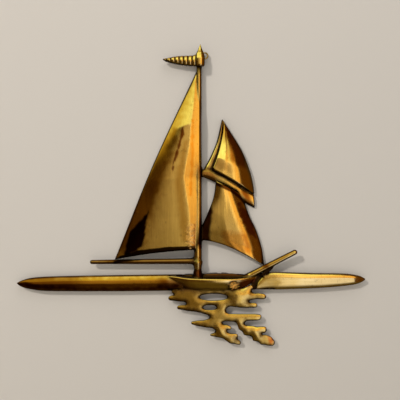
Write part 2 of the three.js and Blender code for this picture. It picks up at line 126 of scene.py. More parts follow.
def edge_line(*points):
    """A smooth line through a few (x, z) points, as a function of 0 to 1 along its length."""
    p = np.array(points, float)
    padded = np.vstack([p[:1], p, p[-1:]])
    steps_between = 24
    t = np.linspace(0, 1, steps_between, endpoint=False)[:, None]
    runs = []
    for i in range(len(p) - 1):
        a, b, c, d = padded[i : i + 4]
        v0, v1 = (c - a) / 2, (d - b) / 2
        cubic = (2 * b - 2 * c + v0 + v1) * t**3 + (-3 * b + 3 * c - 2 * v0 - v1) * t**2
        runs.append(cubic + v0 * t + b)
    line = np.vstack(runs + [p[-1:]])
    length = np.concatenate([[0], np.cumsum(np.linalg.norm(np.diff(line, axis=0), axis=1))])

    def at(share):
        s = np.asarray(share) * length[-1]
        return np.stack([np.interp(s, length, line[:, 0]), np.interp(s, length, line[:, 1])], -1)

    return at


def object_mode():
    if bpy.context.object and bpy.context.object.mode != "OBJECT":
        bpy.ops.object.mode_set(mode="OBJECT")


def only(obj):
    """Makes obj the one selected and active object."""
    object_mode()
    bpy.ops.object.select_all(action="DESELECT")
    obj.select_set(True)
    bpy.context.view_layer.objects.active = obj
    return obj


def edit(obj):
    """Goes into edit mode with all of obj selected."""
    only(obj)
    bpy.ops.object.mode_set(mode="EDIT")
    bpy.ops.mesh.select_all(action="SELECT")


def two_finishes(obj, index=FRONT):
    """Gives a form the slots of the polished front and the sand-cast back."""
    obj.data.materials.clear()
    for name in ("aged_polished_brass", "sand_cast_brass"):
        obj.data.materials.append(bpy.data.materials.get(name) or bpy.data.materials.new(name))
    obj.data.polygons.foreach_set("material_index", np.full(len(obj.data.polygons), index, np.int32))


def set_points(obj, points):
    """Moves the vertices to their new places, in metres."""
    obj.data.vertices.foreach_set("co", np.asarray(points, np.float32).ravel())
    obj.data.update()


def coordinates(obj):
    """The vertices' places, one row each, in metres."""
    found = np.empty(len(obj.data.vertices) * 3, np.float32)
    obj.data.vertices.foreach_get("co", found)
    return found.reshape(-1, 3).astype(float)


def normals_of(obj):
    normals = np.empty(len(obj.data.vertices) * 3, np.float32)
    obj.data.vertices.foreach_get("normal", normals)
    return normals.reshape(-1, 3)


def closed_sheet(name, x, z, depth, u_steps, v_steps, back, index):
    """A grid of front points, with a border drawn back to a flat back face."""
    object_mode()
    bpy.ops.object.select_all(action="DESELECT")
    bpy.ops.mesh.primitive_grid_add(x_subdivisions=u_steps, y_subdivisions=v_steps, size=1)
    obj = bpy.context.object
    obj.name = name
    flat = coordinates(obj)
    column = np.rint((flat[:, 0] + 0.5) * u_steps).astype(int)
    row = np.rint((0.5 - flat[:, 1]) * v_steps).astype(int)
    at = np.stack([x[row, column] - HANG_X, -depth[row, column], z[row, column] - HANG_Z], -1)
    set_points(obj, at * MM)
    two_finishes(obj, index)
    edit(obj)
    bpy.ops.mesh.region_to_loop()
    bpy.ops.mesh.extrude_edges_move(TRANSFORM_OT_translate={"value": (0, 0, 0)})
    bpy.ops.transform.resize(value=(1, 0, 1), center_override=(0, -back * MM, 0))
    bpy.ops.mesh.edge_face_add()
    obj.active_material_index = BACK
    bpy.ops.object.material_slot_assign()
    bpy.ops.mesh.select_all(action="SELECT")
    bpy.ops.mesh.normals_make_consistent(inside=False)
    object_mode()
    return obj


def swelling(name, left, right, across, down, rim, crown, bulge,
             arch=None, back=0.0, corner=4.0, hollow=None):
    """A form between two edge lines that swells towards the front, and the core of the hollow behind it.

    bulge(u, v) is 0 to 1 over the form, arch(u, v) lifts its rows, and corner is the radius of its edges.
    hollow holds the share of the length that stays solid at the head and, where more than the shell
    stays solid at the foot, the share there.
    """
    arch = arch or (lambda u, v: 0 * u)
    corners = (left(0.0), right(0.0), left(1.0), right(1.0))

    def length(u):
        head = mix(corners[0], corners[1], u[..., None])
        foot = mix(corners[2], corners[3], u[..., None])
        return np.linalg.norm(head - foot, axis=-1)

    def sheet(side, head, foot, sink, u_steps, v_steps, behind, index):
        """The form as a closed sheet, inset from its sides and ends and sunk below its face."""
        v = mix(head, 1 - foot, eased(np.linspace(0, 1, v_steps + 1)))
        a, b = left(v), right(v)
        width = np.linalg.norm(a - b, axis=1)[:, None]
        u = mix(side / width, 1 - side / width, eased(np.linspace(0, 1, u_steps + 1))[None, :])
        vv = np.broadcast_to(v[:, None], u.shape)
        to_edge = np.minimum.reduce([u * width, (1 - u) * width, vv * length(u), (1 - vv) * length(u)])
        rounding = corner - np.sqrt(np.maximum(0, corner**2 - np.maximum(0, corner - to_edge) ** 2))
        depth = np.maximum(back + rim + crown * bulge(u, vv) - rounding - sink, back + LEAST_FRONT)
        x = mix(a[:, :1], b[:, :1], u)
        z = mix(a[:, 1:], b[:, 1:], u) + arch(u, vv)
        return closed_sheet(name, x, z, depth, u_steps, v_steps, behind, index)

    outer = sheet(0, 0, 0, 0, across, down, back, FRONT)
    if hollow is None:
        return [outer], []
    foot = hollow[1] if len(hollow) > 1 else SHELL / float(length(np.array(0.5)))
    core = sheet(SHELL, hollow[0], foot, SHELL, across // 2, down // 2, back - CORE_REACH, BACK)
    return [outer], [core]


def turned(name, start, end, profile, sides=28):
    """A bar with its axis on a line, spun from a profile of (share of the length, radius in mm)."""
    axis = end - start
    mesh = bpy.data.meshes.new(name)
    points = [(r * MM, 0, t * axis.length) for t, r in profile]
    mesh.from_pydata(points, [(i, i + 1) for i in range(len(points) - 1)], [])
    obj = bpy.data.objects.new(name, mesh)
    bpy.context.collection.objects.link(obj)
    edit(obj)
    bpy.ops.mesh.spin(steps=sides, angle=2 * math.pi, center=(0, 0, 0), axis=(0, 0, 1))
    bpy.ops.mesh.select_all(action="SELECT")
    bpy.ops.mesh.remove_doubles(threshold=TOUCHING)
    bpy.ops.mesh.normals_make_consistent(inside=False)
    object_mode()
    turn = Vector((0, 0, 1)).rotation_difference(axis.normalized()).to_matrix().to_4x4()
    obj.data.transform(Matrix.Translation(start) @ turn)
    two_finishes(obj)
    return obj


def fine(profile, most):
    """The same profile with steps between its points, the most between points that lie far apart."""
    found = [profile[0]]
    for (t0, r0), (t1, r1) in zip(profile, profile[1:]):
        parts = max(1, min(most, int(abs(t1 - t0) * most * 3) + 1))
        found += [(mix(t0, t1, i / parts), mix(r0, r1, i / parts)) for i in range(1, parts + 1)]
    return found


def round_ended(length, start_radius, end_radius):
    """Profile of a bar that tapers and has round ends. length is in mm."""
    end_steps, side_steps = 9, 40
    quarter = [i / end_steps * math.pi / 2 for i in range(end_steps + 1)]
    rise = [(start_radius * (1 - math.cos(a)) / length, start_radius * math.sin(a)) for a in quarter]
    fall = [(1 - end_radius * (1 - math.cos(a)) / length, end_radius * math.sin(a)) for a in quarter]
    along = [(mix(rise[-1][0], fall[-1][0], s), mix(start_radius, end_radius, s)) for s in
             (i / side_steps for i in range(1, side_steps))]
    rise[0], fall[0] = (0.0, 0.0), (1.0, 0.0)
    return rise + along + fall[::-1]


# Driving sizes of the drawing, in millimetres
# The mainsail's head and how far that reaches left of the mast, its clew, and the roach of its leech
HEAD_Z, HEAD_REACH, CLEW_X, CLEW_Z, ROACH = 440.0, 7, -171.0, 61.0, 5.5
# The two ends of its luff, and how far its foot rises towards the mast
LUFF_TOP_X, LUFF_FOOT_X, FOOT_RISE = 4.4, 4.6, 22
# Where the mainsail turns towards the mast, as (z, x), and how steeply it falls there
SAIL_RIDGE = ((455, -5), (362, -12), (322, -16.6), (282, -19.4), (242, -26.8), (218, -30.6), (192, -26.8),
              (162, -22.4), (136, -19.4), (60, -17))
SAIL_FALL = 0.2
# The mast's two ends, and its collars as (height over the foot, radius over the foot's)
MAST_TOP_X, MAST_TOP_Z, MAST_TOP_DEPTH, MAST_TOP_R = 0.2, 452.0, 7.5, 5.0
MAST_FOOT_X, MAST_FOOT_Z, MAST_FOOT_DEPTH, MAST_FOOT_R = -2.6, 26.0, 11.0, 8.2
MAST_COLLARS = ((0, 2.6), (8, 1.6), (16, 0), (24, 0), (27, 1.8), (33, 1.8), (37, 0), (60, 0))
# How far the mast runs up inside the barrel at its head
MAST_INTO_BARREL = 8
# The boom and the bowsprit, each from (x, depth, z) to (x, depth, z), with the radius at both ends
SPAR_DEPTH = 12.0
BOOM_FROM, BOOM_TO, BOOM_RADII = (-218, SPAR_DEPTH, 57.9), (-4, SPAR_DEPTH, 60), (4.2, 6.4)
SPRIT_FROM, SPRIT_TO, SPRIT_RADII = (86, 7.4, 22.5), (195, 17.5, 80.5), (6.6, 5.1)
# The barrel and spike at the masthead, as (height, radius), flattened from front to back
BARREL = ((448, 0), (448.5, 7.2), (451, 9), (464, 9.6), (474, 8.2), (480, 5.2), (484, 3.6), (493.5, 0))
BARREL_X, BARREL_DEPTH, BARREL_FLATNESS = 2.4, SPAR_DEPTH + 2, 0.75
# The pad behind the barrel that carries the loop, as (x, depth, z) and its size
PAD_AT, PAD_SIZE = (4.5, 8.8, 471), (9, 4, 9)
# The pennant, the pitch of its ribs and how far they swell over its grooves
PENNANT_TIP, PENNANT_MAST, PENNANT_THICK = -73.0, 3.0, 5.2
PENNANT_PITCH, PENNANT_SWELL, PENNANT_GROOVE = 8.4, 3.4, 2.2
# How far the pennant, the water bars and the reflection stand off the back plane
FLOAT = 7.0


def settings():
    return bpy.context.scene.boat_casting


def steps(length):
    """How many steps of the chosen fineness go into a length in mm."""
    return max(4, int(round(length / (settings().fineness / MM))))


def hull_forms():
    """The hull's side, and the lower strip of the deck that shows over its edge."""
    crown = settings().hull_crown / MM
    body = swelling(
        "hull",
        edge_line((-70, 30), (-48, 30), (-18, 27), (42, 26), (72, 26), (100, 28.5), (117, 31)),
        edge_line((-68, 26), (-50, 14), (-34, 7), (-16, 1.5), (22, 0), (52, 0), (76, 1.5), (100, 11),
                  (117, 26)),
        steps(44), steps(190), 8, crown,
        lambda u, v: np.sin(np.pi * v) ** 0.6 * (1 - 0.85 * u**2.2),
        corner=2.5, hollow=(0.16, 0.1),
    )
    deck = swelling(
        "deck",
        edge_line((-40, 32.5), (0, 34), (50, 35.5), (104, 32)),
        edge_line((-44, 24), (0, 23), (50, 22), (108, 25)),
        steps(16), steps(140), 8, 6,
        lambda u, v: np.sin(np.pi * v) ** 0.6 + 0 * u,
        corner=3,
    )
    return [body, deck]


def mainsail_forms():
    """The mainsail, with a ridge near the mast from which it falls away."""
    crown = settings().sail_crown / MM

    def leech(v):
        v = np.asarray(v, float)
        x = mix(MAST_TOP_X - HEAD_REACH, CLEW_X, v) - ROACH * np.sin(np.pi * v) ** 1.5
        return np.stack([x, mix(HEAD_Z, CLEW_Z, v)], -1)

    def luff(v):
        v = np.asarray(v, float)
        return np.stack([mix(LUFF_TOP_X, LUFF_FOOT_X, v), mix(HEAD_Z, CLEW_Z + FOOT_RISE, v)], -1)

    def bulge(u, v):
        """Rises in a round curve from the leech to the ridge, and falls in a straight line to the mast."""
        width = luff(v)[..., 0] - leech(v)[..., 0]
        z = mix(HEAD_Z, CLEW_Z, v)
        from_mast = luff(v)[..., 0] - np.interp(z, *zip(*SAIL_RIDGE[::-1]))
        turn = 1 - np.minimum(from_mast, 0.6 * width) / width
        across = np.sin(np.pi / 2 * np.minimum(1, u / turn))
        fall = SAIL_FALL * np.maximum(0, u - turn) * width
        return ramp(v, 0.25, 0.3) * (1 - 0.1 * v) * across - fall / crown

    return [swelling("mainsail", leech, luff, steps(130), steps(380), 5, crown, bulge,
                     arch=lambda u, v: 4 * v**8 * np.sin(np.pi * u), corner=4.5, hollow=(0.12,))]


def crested(crest, left_share, gain, lengthwise):
    """Swell with a crest that wanders down the form, gentle on its left and rolling away on its right."""
    roll, rib_height, rib_width = 2.3, 0.025, 0.06

    def bulge(u, v):
        top = np.interp(v, *zip(*crest))
        left = left_share * (np.maximum(0, top - u) / top) ** 2
        right = (np.maximum(0, u - top) / (1 - top)) ** (roll + gain * v)
        rib = rib_height * np.exp(-(((u - top) / rib_width) ** 2))
        return lengthwise(v) * (1 - left - right + rib)

    return bulge


def upper_jib_forms():
    """The panel of the upper jib, and the raised bands along its luff and its foot."""
    leech = edge_line((47, 345), (61.5, 323), (86.3, 282.5), (102.8, 242), (110, 212), (112, 193))
    groove = edge_line((46.5, 345), (48, 325), (39.5, 281), (26, 243))
    panel = swelling(
        "upper_jib", groove, leech, steps(80), steps(130), 6, 18,
        crested(((0, 0.3), (0.3, 0.17), (0.5, 0.2), (1, 0.24)), 0.2, 1.2, lambda v: ramp(v, 0.08, 0.75)),
        arch=lambda u, v: 1.5 * v**4 * np.sin(np.pi * u), corner=3, hollow=(0.2,),
    )
    luff_band = swelling(
        "jib_luff_band",
        edge_line((45.5, 344), (36, 302), (28, 281), (19, 262), (6, 240), (2, 236)),
        edge_line((49, 340), (47, 310), (40, 279), (27, 242), (22, 226)),
        steps(20), steps(115), 6, 4, lambda u, v: np.sin(np.pi * u), corner=3,
    )

    def falling_away(u, v):
        """Round across, and lower and tilted to the left towards its tip."""
        tilt = 0.34 * (u - 0.5) * smooth(v, 0.35, 0.5)
        return 1 - 0.6 * np.abs(2 * u - 1) ** 2.5 - 0.85 * smooth(v, 0.4, 1.05) + tilt

    foot_band = swelling(
        "jib_foot_band",
        edge_line((1, 238), (16, 246), (44, 236.5), (64, 225), (83, 213), (98, 203), (111, 194)),
        edge_line((1, 230), (20, 222.5), (43, 212), (63, 203), (80, 190), (94, 175), (113, 165.5)),
        steps(26), steps(125), 6, 5, falling_away, corner=3,
    )
    return [panel, luff_band, foot_band]


def lower_jib_forms():
    """The lower jib, with a crest that wanders from its head to its foot."""
    return [swelling(
        "lower_jib",
        edge_line((33, 222), (31, 199), (26, 178), (14, 149), (5, 128), (0, 101)),
        edge_line((86, 196), (102, 151), (113.5, 127), (122, 104), (128, 82), (131, 62), (133, 49)),
        steps(110), steps(150), 5, 14,
        crested(((0, 0.26), (0.25, 0.31), (0.5, 0.33), (0.7, 0.4), (0.85, 0.45), (1, 0.6)), 0.45, 2,
                lambda v: 0.88 + 0.12 * np.sin(np.pi * np.minimum(1, v + 0.15))),
        arch=lambda u, v: 10 * v**5 * np.sin(np.pi * u**0.8), corner=4, hollow=(0.06,),
    )]


def water_bar_forms():
    """The two long bars of the water, and the webs that tie the right one to the hull and the bowsprit."""
    rim = 3.5
    crown = settings().bar_depth / MM - rim
    left_bar = swelling(
        "left_water_bar",
        edge_line((-366, 15.5), (-356, 20.5), (-336, 25.8), (-300, 28.4), (-236, 30), (-150, 31.5),
                  (-30, 33)),
        edge_line((-366, 14.5), (-356, 7.5), (-336, 2.3), (-300, -1.2), (-178, -1.6), (-100, -1), (-30, 0)),
        steps(40), steps(340), rim, crown,
        lambda u, v: np.sin(np.pi * u) ** 0.8 * smooth(v, -0.02, 0.12),
        back=FLOAT, corner=3, hollow=(0.08, 0.24),
    )
    right_bar = swelling(
        "right_water_bar",
        edge_line((114, 5), (115.5, 14), (120, 21.5), (126, 28.5), (131, 34), (150, 37.8), (222, 35.6),
                  (290, 34.6), (320, 30.5), (334, 24)),
        edge_line((115, 3), (122, 2.2), (140, 2.2), (172, 2.4), (242, 5), (290, 9), (314, 12.6),
                  (328, 17.8), (334, 22.5)),
        steps(40), steps(240), rim, crown,
        lambda u, v: (1.05 - 0.55 * np.abs(2 * u - 1) ** 3 - 0.45 * u) * smooth(1 - v, -0.02, 0.12),
        back=FLOAT, corner=3, hollow=(0.12, 0.1),
    )
    web = swelling(
        "sprit_web", edge_line((121, 31), (128, 38), (145, 52)), edge_line((131, 27), (139, 36), (152, 50)),
        steps(14), steps(30), 7, 1, lambda u, v: 1 + 0 * u, back=FLOAT, corner=2,
    )
    bow_web = swelling(
        "bow_web", edge_line((108, 36), (106, 22), (104, 2)), edge_line((134, 36), (121, 22), (117, 3)),
        steps(14), steps(30), 3, 0.5, lambda u, v: 1 + 0 * u, back=FLOAT, corner=1,
    )
    return [left_bar, right_bar, web, bow_web]


def pennant_forms():
    """The ribbed pennant, the barrel that carries it, and the pad behind the barrel."""
    across, down, rise = 22, 150, 1

    def ribs(u, v):
        from_mast = (PENNANT_MAST - mix(PENNANT_TIP, PENNANT_MAST, v)) / PENNANT_PITCH
        groove = 1 - np.abs(np.sin(np.pi * from_mast)) ** 0.5
        return PENNANT_SWELL * np.sin(np.pi * u) ** 0.8 - PENNANT_GROOVE * groove

    flag = swelling(
        "pennant",
        edge_line((PENNANT_TIP, 464.5), (-45, 470), (-27, 471), (-10, 472.5), (PENNANT_MAST, 480)),
        edge_line((PENNANT_TIP + 1, 463), (-64, 458.6), (-45, 454.2), (-27, 451.4), (PENNANT_MAST, 449)),
        across, down, PENNANT_THICK, rise, ribs, back=FLOAT, corner=2.2,
    )
    base, top = BARREL[0][0], BARREL[-1][0]
    profile = [((z - base) / (top - base), radius) for z, radius in BARREL]
    barrel = turned("masthead", Vector((0, 0, 0)), Vector((0, 0, (top - base) * MM)), fine(profile, 6), 36)
    barrel.data.transform(Matrix.Diagonal((1, BARREL_FLATNESS, 1, 1)))
    barrel.data.transform(Matrix.Translation(row_point(BARREL_X, BARREL_DEPTH, base)))
    object_mode()
    bpy.ops.object.select_all(action="DESELECT")
    bpy.ops.mesh.primitive_cube_add(size=1)
    pad = bpy.context.object
    pad.data.transform(Matrix.Diagonal((*(size * MM for size in PAD_SIZE), 1)))
    pad.data.transform(Matrix.Translation(row_point(*PAD_AT)))
    two_finishes(pad, BACK)
    return [flag, ([barrel, pad], [])]


def spar_forms():
    """The boom and the bowsprit, and apart from them the mast with its collars."""
    spars = []
    for name, start, end, radii in (("boom", BOOM_FROM, BOOM_TO, BOOM_RADII),
                                    ("bowsprit", SPRIT_FROM, SPRIT_TO, SPRIT_RADII)):
        start, end = row_point(*start), row_point(*end)
        spars.append(turned(name, start, end, round_ended((end - start).length / MM, *radii)))
    foot = row_point(MAST_FOOT_X, MAST_FOOT_DEPTH, MAST_FOOT_Z)
    top = row_point(MAST_TOP_X, MAST_TOP_DEPTH, MAST_TOP_Z + MAST_INTO_BARREL)
    length = (top - foot).length / MM
    collars = [(up / length, MAST_FOOT_R + more) for up, more in MAST_COLLARS]
    mast = turned("mast", foot, top, fine([(0, 0), *collars, (1, MAST_TOP_R), (1, 0)], 40), 32)
    return (spars, []), ([mast], [])


# The reflection's strokes, each a run of (x, z, radius) that widens and narrows.
STROKES = {
    "shoulder": ((-46, -4, 9), (-22, -14, 14), (-6, -30, 12), (14, -43, 4.4), (30, -46, 8)),
    "waterline": ((-30, 0, 8), (32, 0, 6), (82, -1, 6.4)),
    "bow_web": ((92, -2, 8), (104, 7, 4.6)),
    "right_mass": ((74, -4, 8), (82, -14, 13), (98, -9, 9)),
    "bridge": ((-4, -24.5, 5), (58, -24.5, 5)),
    "round_the_windows": ((0, -12, 9), (62, -12, 9), (58, -26, 6), (40, -33, 8), (8, -33.6, 9)),
    "column": ((47, -24, 9), (46, -38, 8.4), (39, -52, 14), (33, -64, 11), (44, -80, 8.4), (54, -90, 7.6),
               (65, -99, 7.2), (80, -104.6, 4.2)),
    "right_stream": ((79, -58, 7), (88, -73, 9), (100, -80, 11), (112, -88, 12.5), (125, -96, 12),
                     (139, -100.5, 10), (146, -104, 6.5)),
    "scallops": ((95, -84, 6), (96, -84, 6)),
    "low_scallop": ((115, -96, 6), (116, -96, 6)),
}
# Each finger runs from its tip to its root.
FINGERS = (
    ((-57, -14.6, 4.4), (-32, -13, 10)),
    ((-41, -33.6, 3.4), (-18, -33, 8.6)),
    ((-13, -64.6, 3.4), (12, -65.6, 7.6), (32, -64, 10)),
    ((24, -88.6, 2.6), (46, -87, 7.6)),
    ((129, -11.6, 5.8), (116, -10.6, 5.6), (100, -12, 8)),
    ((112, -29.4, 4.8), (98, -29, 5.4), (84, -26, 8), (66, -24, 7)),
    ((118, -52, 7.4), (104, -53, 6.8), (80, -53.8, 8), (50, -53, 9)),
    ((129, -77.6, 7), (116, -79.6, 7), (102, -80, 10)),
    ((61, -73, 4.8), (44, -72.6, 5)),
    ((74, -90.4, 5.2), (58, -92, 6)),
)
# The bays between the fingers, each cut from its round end outwards
BAYS = (
    ((-28, -25.4, 3), (-38, -25.2, 3.6), (-60, -26, 5.4)),
    ((16.5, -52, 3.6), (2, -50.5, 6.6), (-20, -51, 10.4), (-50, -54, 15)),
    ((31, -80.6, 2.8), (20, -81, 4.8), (0, -84, 10.4), (-30, -86, 16)),
    ((-51, -7, 1.6), (-58, -6.6, 2), (-72, -5, 3)),
    ((102, -19.8, 1.4), (112, -19.8, 2), (135, -20, 3.6)),
    ((62, -40, 5.8), (80, -40.2, 6.2), (112, -40.6, 5.8), (135, -41.5, 7)),
    ((94.5, -65, 4), (112, -66, 4.8), (135, -66.5, 5.4)),
    ((126.5, -86.6, 1.6), (136, -86.5, 2.4), (150, -84, 5)),
    ((47.6, -63.6, 2), (56, -64.4, 3.2), (67, -67.5, 4.4), (72, -76, 4.8), (80, -84, 4.2), (87, -93, 5),
     (93, -97, 6), (104, -108, 8), (112, -116, 8)),
    ((80, -83, 4.5), (84, -85, 4.5)),
    ((92, -96, 6.5), (100, -97.5, 7.5)),
    ((104, -108, 8), (115, -110, 8)),
    ((59, -80, 2), (70, -80, 3)),
    ((79, -95, 1.8), (90, -97, 5)),
)
# The two oval windows, as (x, z, half width, half height)
OVALS = ((29, -12.6, 29, 6.6), (21.6, -33.4, 14.6, 4.8))
# How softly the strokes flow into each other, and how far their edges waver, in mm
FLOW, WAVER = 1.6, 0.6
# Low mounds on the reflection's face, as (x, z, reach, rise)
MOUNDS = ((76, -4, 30, 2.2), (108, -80, 28, 2.2), (44, -82, 24, 1.4))
# The area of the drawing that holds the reflection, as (left, right, low, high)
REFLECTION_AREA = (-72, 164, -122, 36)
# Steps in mm: of the search for the outlines, along them, and between the points of the face
SEARCH_STEP, OUTLINE_STEP, FACE_STEP = 1.5, 1.9, 3.6
# The least area of a bay in square mm, the radius of the rim in mm, and the steps round it
LEAST_BAY, RIM, RIM_STEPS = 40, 1.7, 5


def to_run(x, z, run):
    """Distance from a run of (x, z, radius), below 0 inside it."""
    nearest = np.inf
    for (ax, az, ar), (bx, bz, br) in zip(run, run[1:]):
        along = ((x - ax) * (bx - ax) + (z - az) * (bz - az)) / ((bx - ax) ** 2 + (bz - az) ** 2)
        t = np.clip(along, 0, 1)
        nearest = np.minimum(nearest, np.hypot(x - mix(ax, bx, t), z - mix(az, bz, t)) - mix(ar, br, t))
    return nearest


def ripples(x, z):
    """Below 0 inside the reflection, whose strokes flow into each other before the bays are cut."""
    total = sum(np.exp(-to_run(x, z, run) / FLOW) for run in (*STROKES.values(), *FINGERS))
    solid = -FLOW * np.log(total) + WAVER * np.sin(x / 5 + z / 9) * np.sin(z / 6 - x / 12)
    for bay in BAYS:
        solid = np.maximum(solid, -to_run(x, z, bay))
    for cx, cz, a, b in OVALS:
        away = np.hypot((x - cx) / a, (z - cz) / b)
        steep = np.hypot((x - cx) / a**2, (z - cz) / b**2) + 1e-9
        solid = np.maximum(solid, away * (1 - away) / steep)
    return solid


def outlines(field, x0, x1, z0, z1, step):
    """Closed outlines of the area where a function is below 0, walked cell by cell."""
    xs, zs = np.arange(x0, x1 + step, step), np.arange(z0, z1 + step, step)
    value = field(*np.meshgrid(xs, zs, indexing="ij"))
    inside = value < 0

    def crossing(a, b):
        a, b = min(a, b), max(a, b)
        t = value[a] / (value[a] - value[b])
        return (a, b), (mix(xs[a[0]], xs[b[0]], t), mix(zs[a[1]], zs[b[1]], t))

    onward = {}
    for i in range(len(xs) - 1):
        for k in range(len(zs) - 1):
            ring = ((i, k), (i + 1, k), (i + 1, k + 1), (i, k + 1))
            held = [inside[c] for c in ring]
            if all(held) or not any(held):
                continue
            for s in range(4):
                if held[s] and not held[(s + 1) % 4]:
                    e = s
                    while held[e]:
                        e = (e + 3) % 4
                    leaves, point = crossing(ring[s], ring[(s + 1) % 4])
                    onward[leaves] = (crossing(ring[e], ring[(e + 1) % 4])[0], point)
    loops = []
    while onward:
        key, loop = next(iter(onward)), []
        while key in onward:
            key, point = onward.pop(key)
            loop.append(point)
        loops.append(np.array(loop))
    return loops


def even_steps(loop, step):
    """The same closed outline in even steps, with its small corners eased."""
    for _ in range(3):
        loop = (np.roll(loop, 1, 0) + 2 * loop + np.roll(loop, -1, 0)) / 4
    closed = np.vstack([loop, loop[:1]])
    length = np.concatenate([[0], np.cumsum(np.linalg.norm(np.diff(closed, axis=0), axis=1))])
    at = np.linspace(0, length[-1], int(length[-1] / step), endpoint=False)
    return np.stack([np.interp(at, length, closed[:, 0]), np.interp(at, length, closed[:, 1])], -1)


def inside_loops(points, loops):
    """Which points lie inside an odd number of the loops."""
    odd = np.zeros(len(points), bool)
    for loop in loops:
        nxt = np.roll(loop, -1, 0)
        for (ax, az), (bx, bz) in zip(loop, nxt):
            spans = (az > points[:, 1]) != (bz > points[:, 1])
            if spans.any():
                crossing = ax + (points[:, 1] - az) / ((bz - az) or 1e-9) * (bx - ax)
                odd ^= spans & (points[:, 0] < crossing)
    return odd


def reflection_outlines():
    """The outlines of the reflection and of its windows, in even steps."""
    loops = []
    for loop in outlines(ripples, *REFLECTION_AREA, SEARCH_STEP):
        following = np.roll(loop, -1, 0)
        area = np.sum(loop[:, 0] * following[:, 1] - following[:, 0] * loop[:, 1]) / 2
        if abs(area) > LEAST_BAY:
            loops.append(even_steps(loop, OUTLINE_STEP))
    return loops


def inward_from(loop):
    """The way into the metal at each point of an outline, shorter where the metal is narrow."""
    tangent = np.roll(loop, -2, 0) - np.roll(loop, 2, 0)
    tangent /= np.linalg.norm(tangent, axis=1)[:, None]
    inward = np.stack([tangent[:, 1], -tangent[:, 0]], -1)
    probe, probes = 0.8, (0.6, 1.2, 1.8, 2.4, 3.2)
    if ripples(*(loop + inward * probe).T).mean() > 0:
        inward = -inward
    thick = np.max([-ripples(*(loop + inward * s).T) for s in probes], axis=0)
    share = np.clip(0.6 * thick / RIM, 0.15, 1)
    return inward * np.minimum.reduce([np.roll(share, i) for i in (-2, -1, 0, 1, 2)])[:, None]


def rounded_rim(loop, inward, depth, vertices, faces):
    """Adds the rings of a rim that is round at the back and the front, and returns where both end."""
    levels = [math.pi / 2 * i / RIM_STEPS for i in range(RIM_STEPS + 1)]
    front = [(RIM * (1 - math.cos(a)), depth - RIM * (1 - math.sin(a))) for a in levels]
    rings = [(inset, FLOAT + depth - up) for inset, up in front[::-1]]
    rings += [(inset, FLOAT + up) for inset, up in front]
    n, first = len(loop), len(vertices)
    for inset, up in rings:
        vertices += [(x, up, z) for x, z in loop + inward * inset]
    for r in range(len(rings) - 1):
        a = first + r * n
        for i in range(n):
            j = (i + 1) % n
            faces.append((a + i, a + j, a + n + j, a + n + i))
    return first, first + (len(rings) - 1) * n


def face_points():
    """Rows of points inside the rim, with every second row shifted by half a step."""
    left, right, low, high = REFLECTION_AREA
    margin = 2
    columns = np.arange(left + margin, right - margin, FACE_STEP)
    rows = np.arange(low + margin, high - margin, FACE_STEP)
    grid = np.stack(np.meshgrid(columns, rows), -1).reshape(-1, 2)
    grid[:, 0] += FACE_STEP / 2 * (np.rint(grid[:, 1] / FACE_STEP) % 2)
    return grid[ripples(*grid.T) < -(RIM + OUTLINE_STEP)]


def triangles_between(loops, grid):
    """Triangles that fill the metal between the loops, over the loops' points and then the grid's."""
    edges, start = [], 0
    for loop in loops:
        edges += [(start + i, start + (i + 1) % len(loop)) for i in range(len(loop))]
        start += len(loop)
    points = [Vector(p) for p in np.vstack(loops + [grid])]
    corners, _, faces, originals, *_ = geometry.delaunay_2d_cdt(points, edges, [], 0, 1e-6)
    triangles = np.array([face for face in faces if len(face) == 3])
    middle = np.array([(v[0], v[1]) for v in corners], float)[triangles].mean(axis=1)
    inside = triangles[inside_loops(middle, loops)]
    return [tuple(originals[i][0] for i in triangle) for triangle in inside]


def face_swell(x, z):
    """Height of the reflection's face over its rim: it rises from every edge, and in low mounds."""
    rise, full_rise_in = 0.9, 5
    mounds = sum(
        top * np.maximum(0, 1 - ((x - cx) ** 2 + (z - cz) ** 2) / reach**2) for cx, cz, reach, top in MOUNDS)
    return (rise + mounds) * smooth(-ripples(x, z), 0, full_rise_in)


def leaning(x, z):
    """How far the lower right of the reflection leans towards the back, in mm."""
    slope, below, right_from, right_full = 0.05, -62, 60, 84
    return slope * np.maximum(0, below - z) * smooth(x, right_from, right_full)


def reflection_form():
    """One plate with rounded rims, open bays and a face that swells a little between its edges."""
    depth = settings().ripple_depth / MM
    vertices, faces, loops, rims = [], [], [], []
    for loop in reflection_outlines():
        inward = inward_from(loop)
        rims.append(rounded_rim(loop, inward, depth, vertices, faces))
        loops.append(loop + inward * RIM)
    grid = face_points()
    triangles = triangles_between(loops, grid)
    for side, end, height in ((BACK, 0, 0 * grid[:, 0]), (FRONT, 1, depth + face_swell(*grid.T))):
        index_of = []
        for loop, rim in zip(loops, rims):
            index_of += range(rim[end], rim[end] + len(loop))
        index_of += range(len(vertices), len(vertices) + len(grid))
        vertices += [(x, FLOAT + up, z) for (x, z), up in zip(grid, height)]
        for triangle in triangles:
            face = tuple(index_of[i] for i in triangle)
            faces.append(face if side == FRONT else face[::-1])
    at = np.array(vertices, float)
    at[:, 1] -= leaning(at[:, 0], at[:, 2]) * (at[:, 1] - FLOAT) / depth
    mesh = bpy.data.meshes.new("reflection")
    mesh.from_pydata(np.stack([at[:, 0] - HANG_X, -at[:, 1], at[:, 2] - HANG_Z], -1) * MM, [], faces)
    obj = bpy.data.objects.new("reflection", mesh)
    bpy.context.collection.objects.link(obj)
    edit(obj)
    bpy.ops.mesh.remove_doubles(threshold=TOUCHING)
    bpy.ops.mesh.normals_make_consistent(inside=False)
    object_mode()
    two_finishes(obj)
    return obj


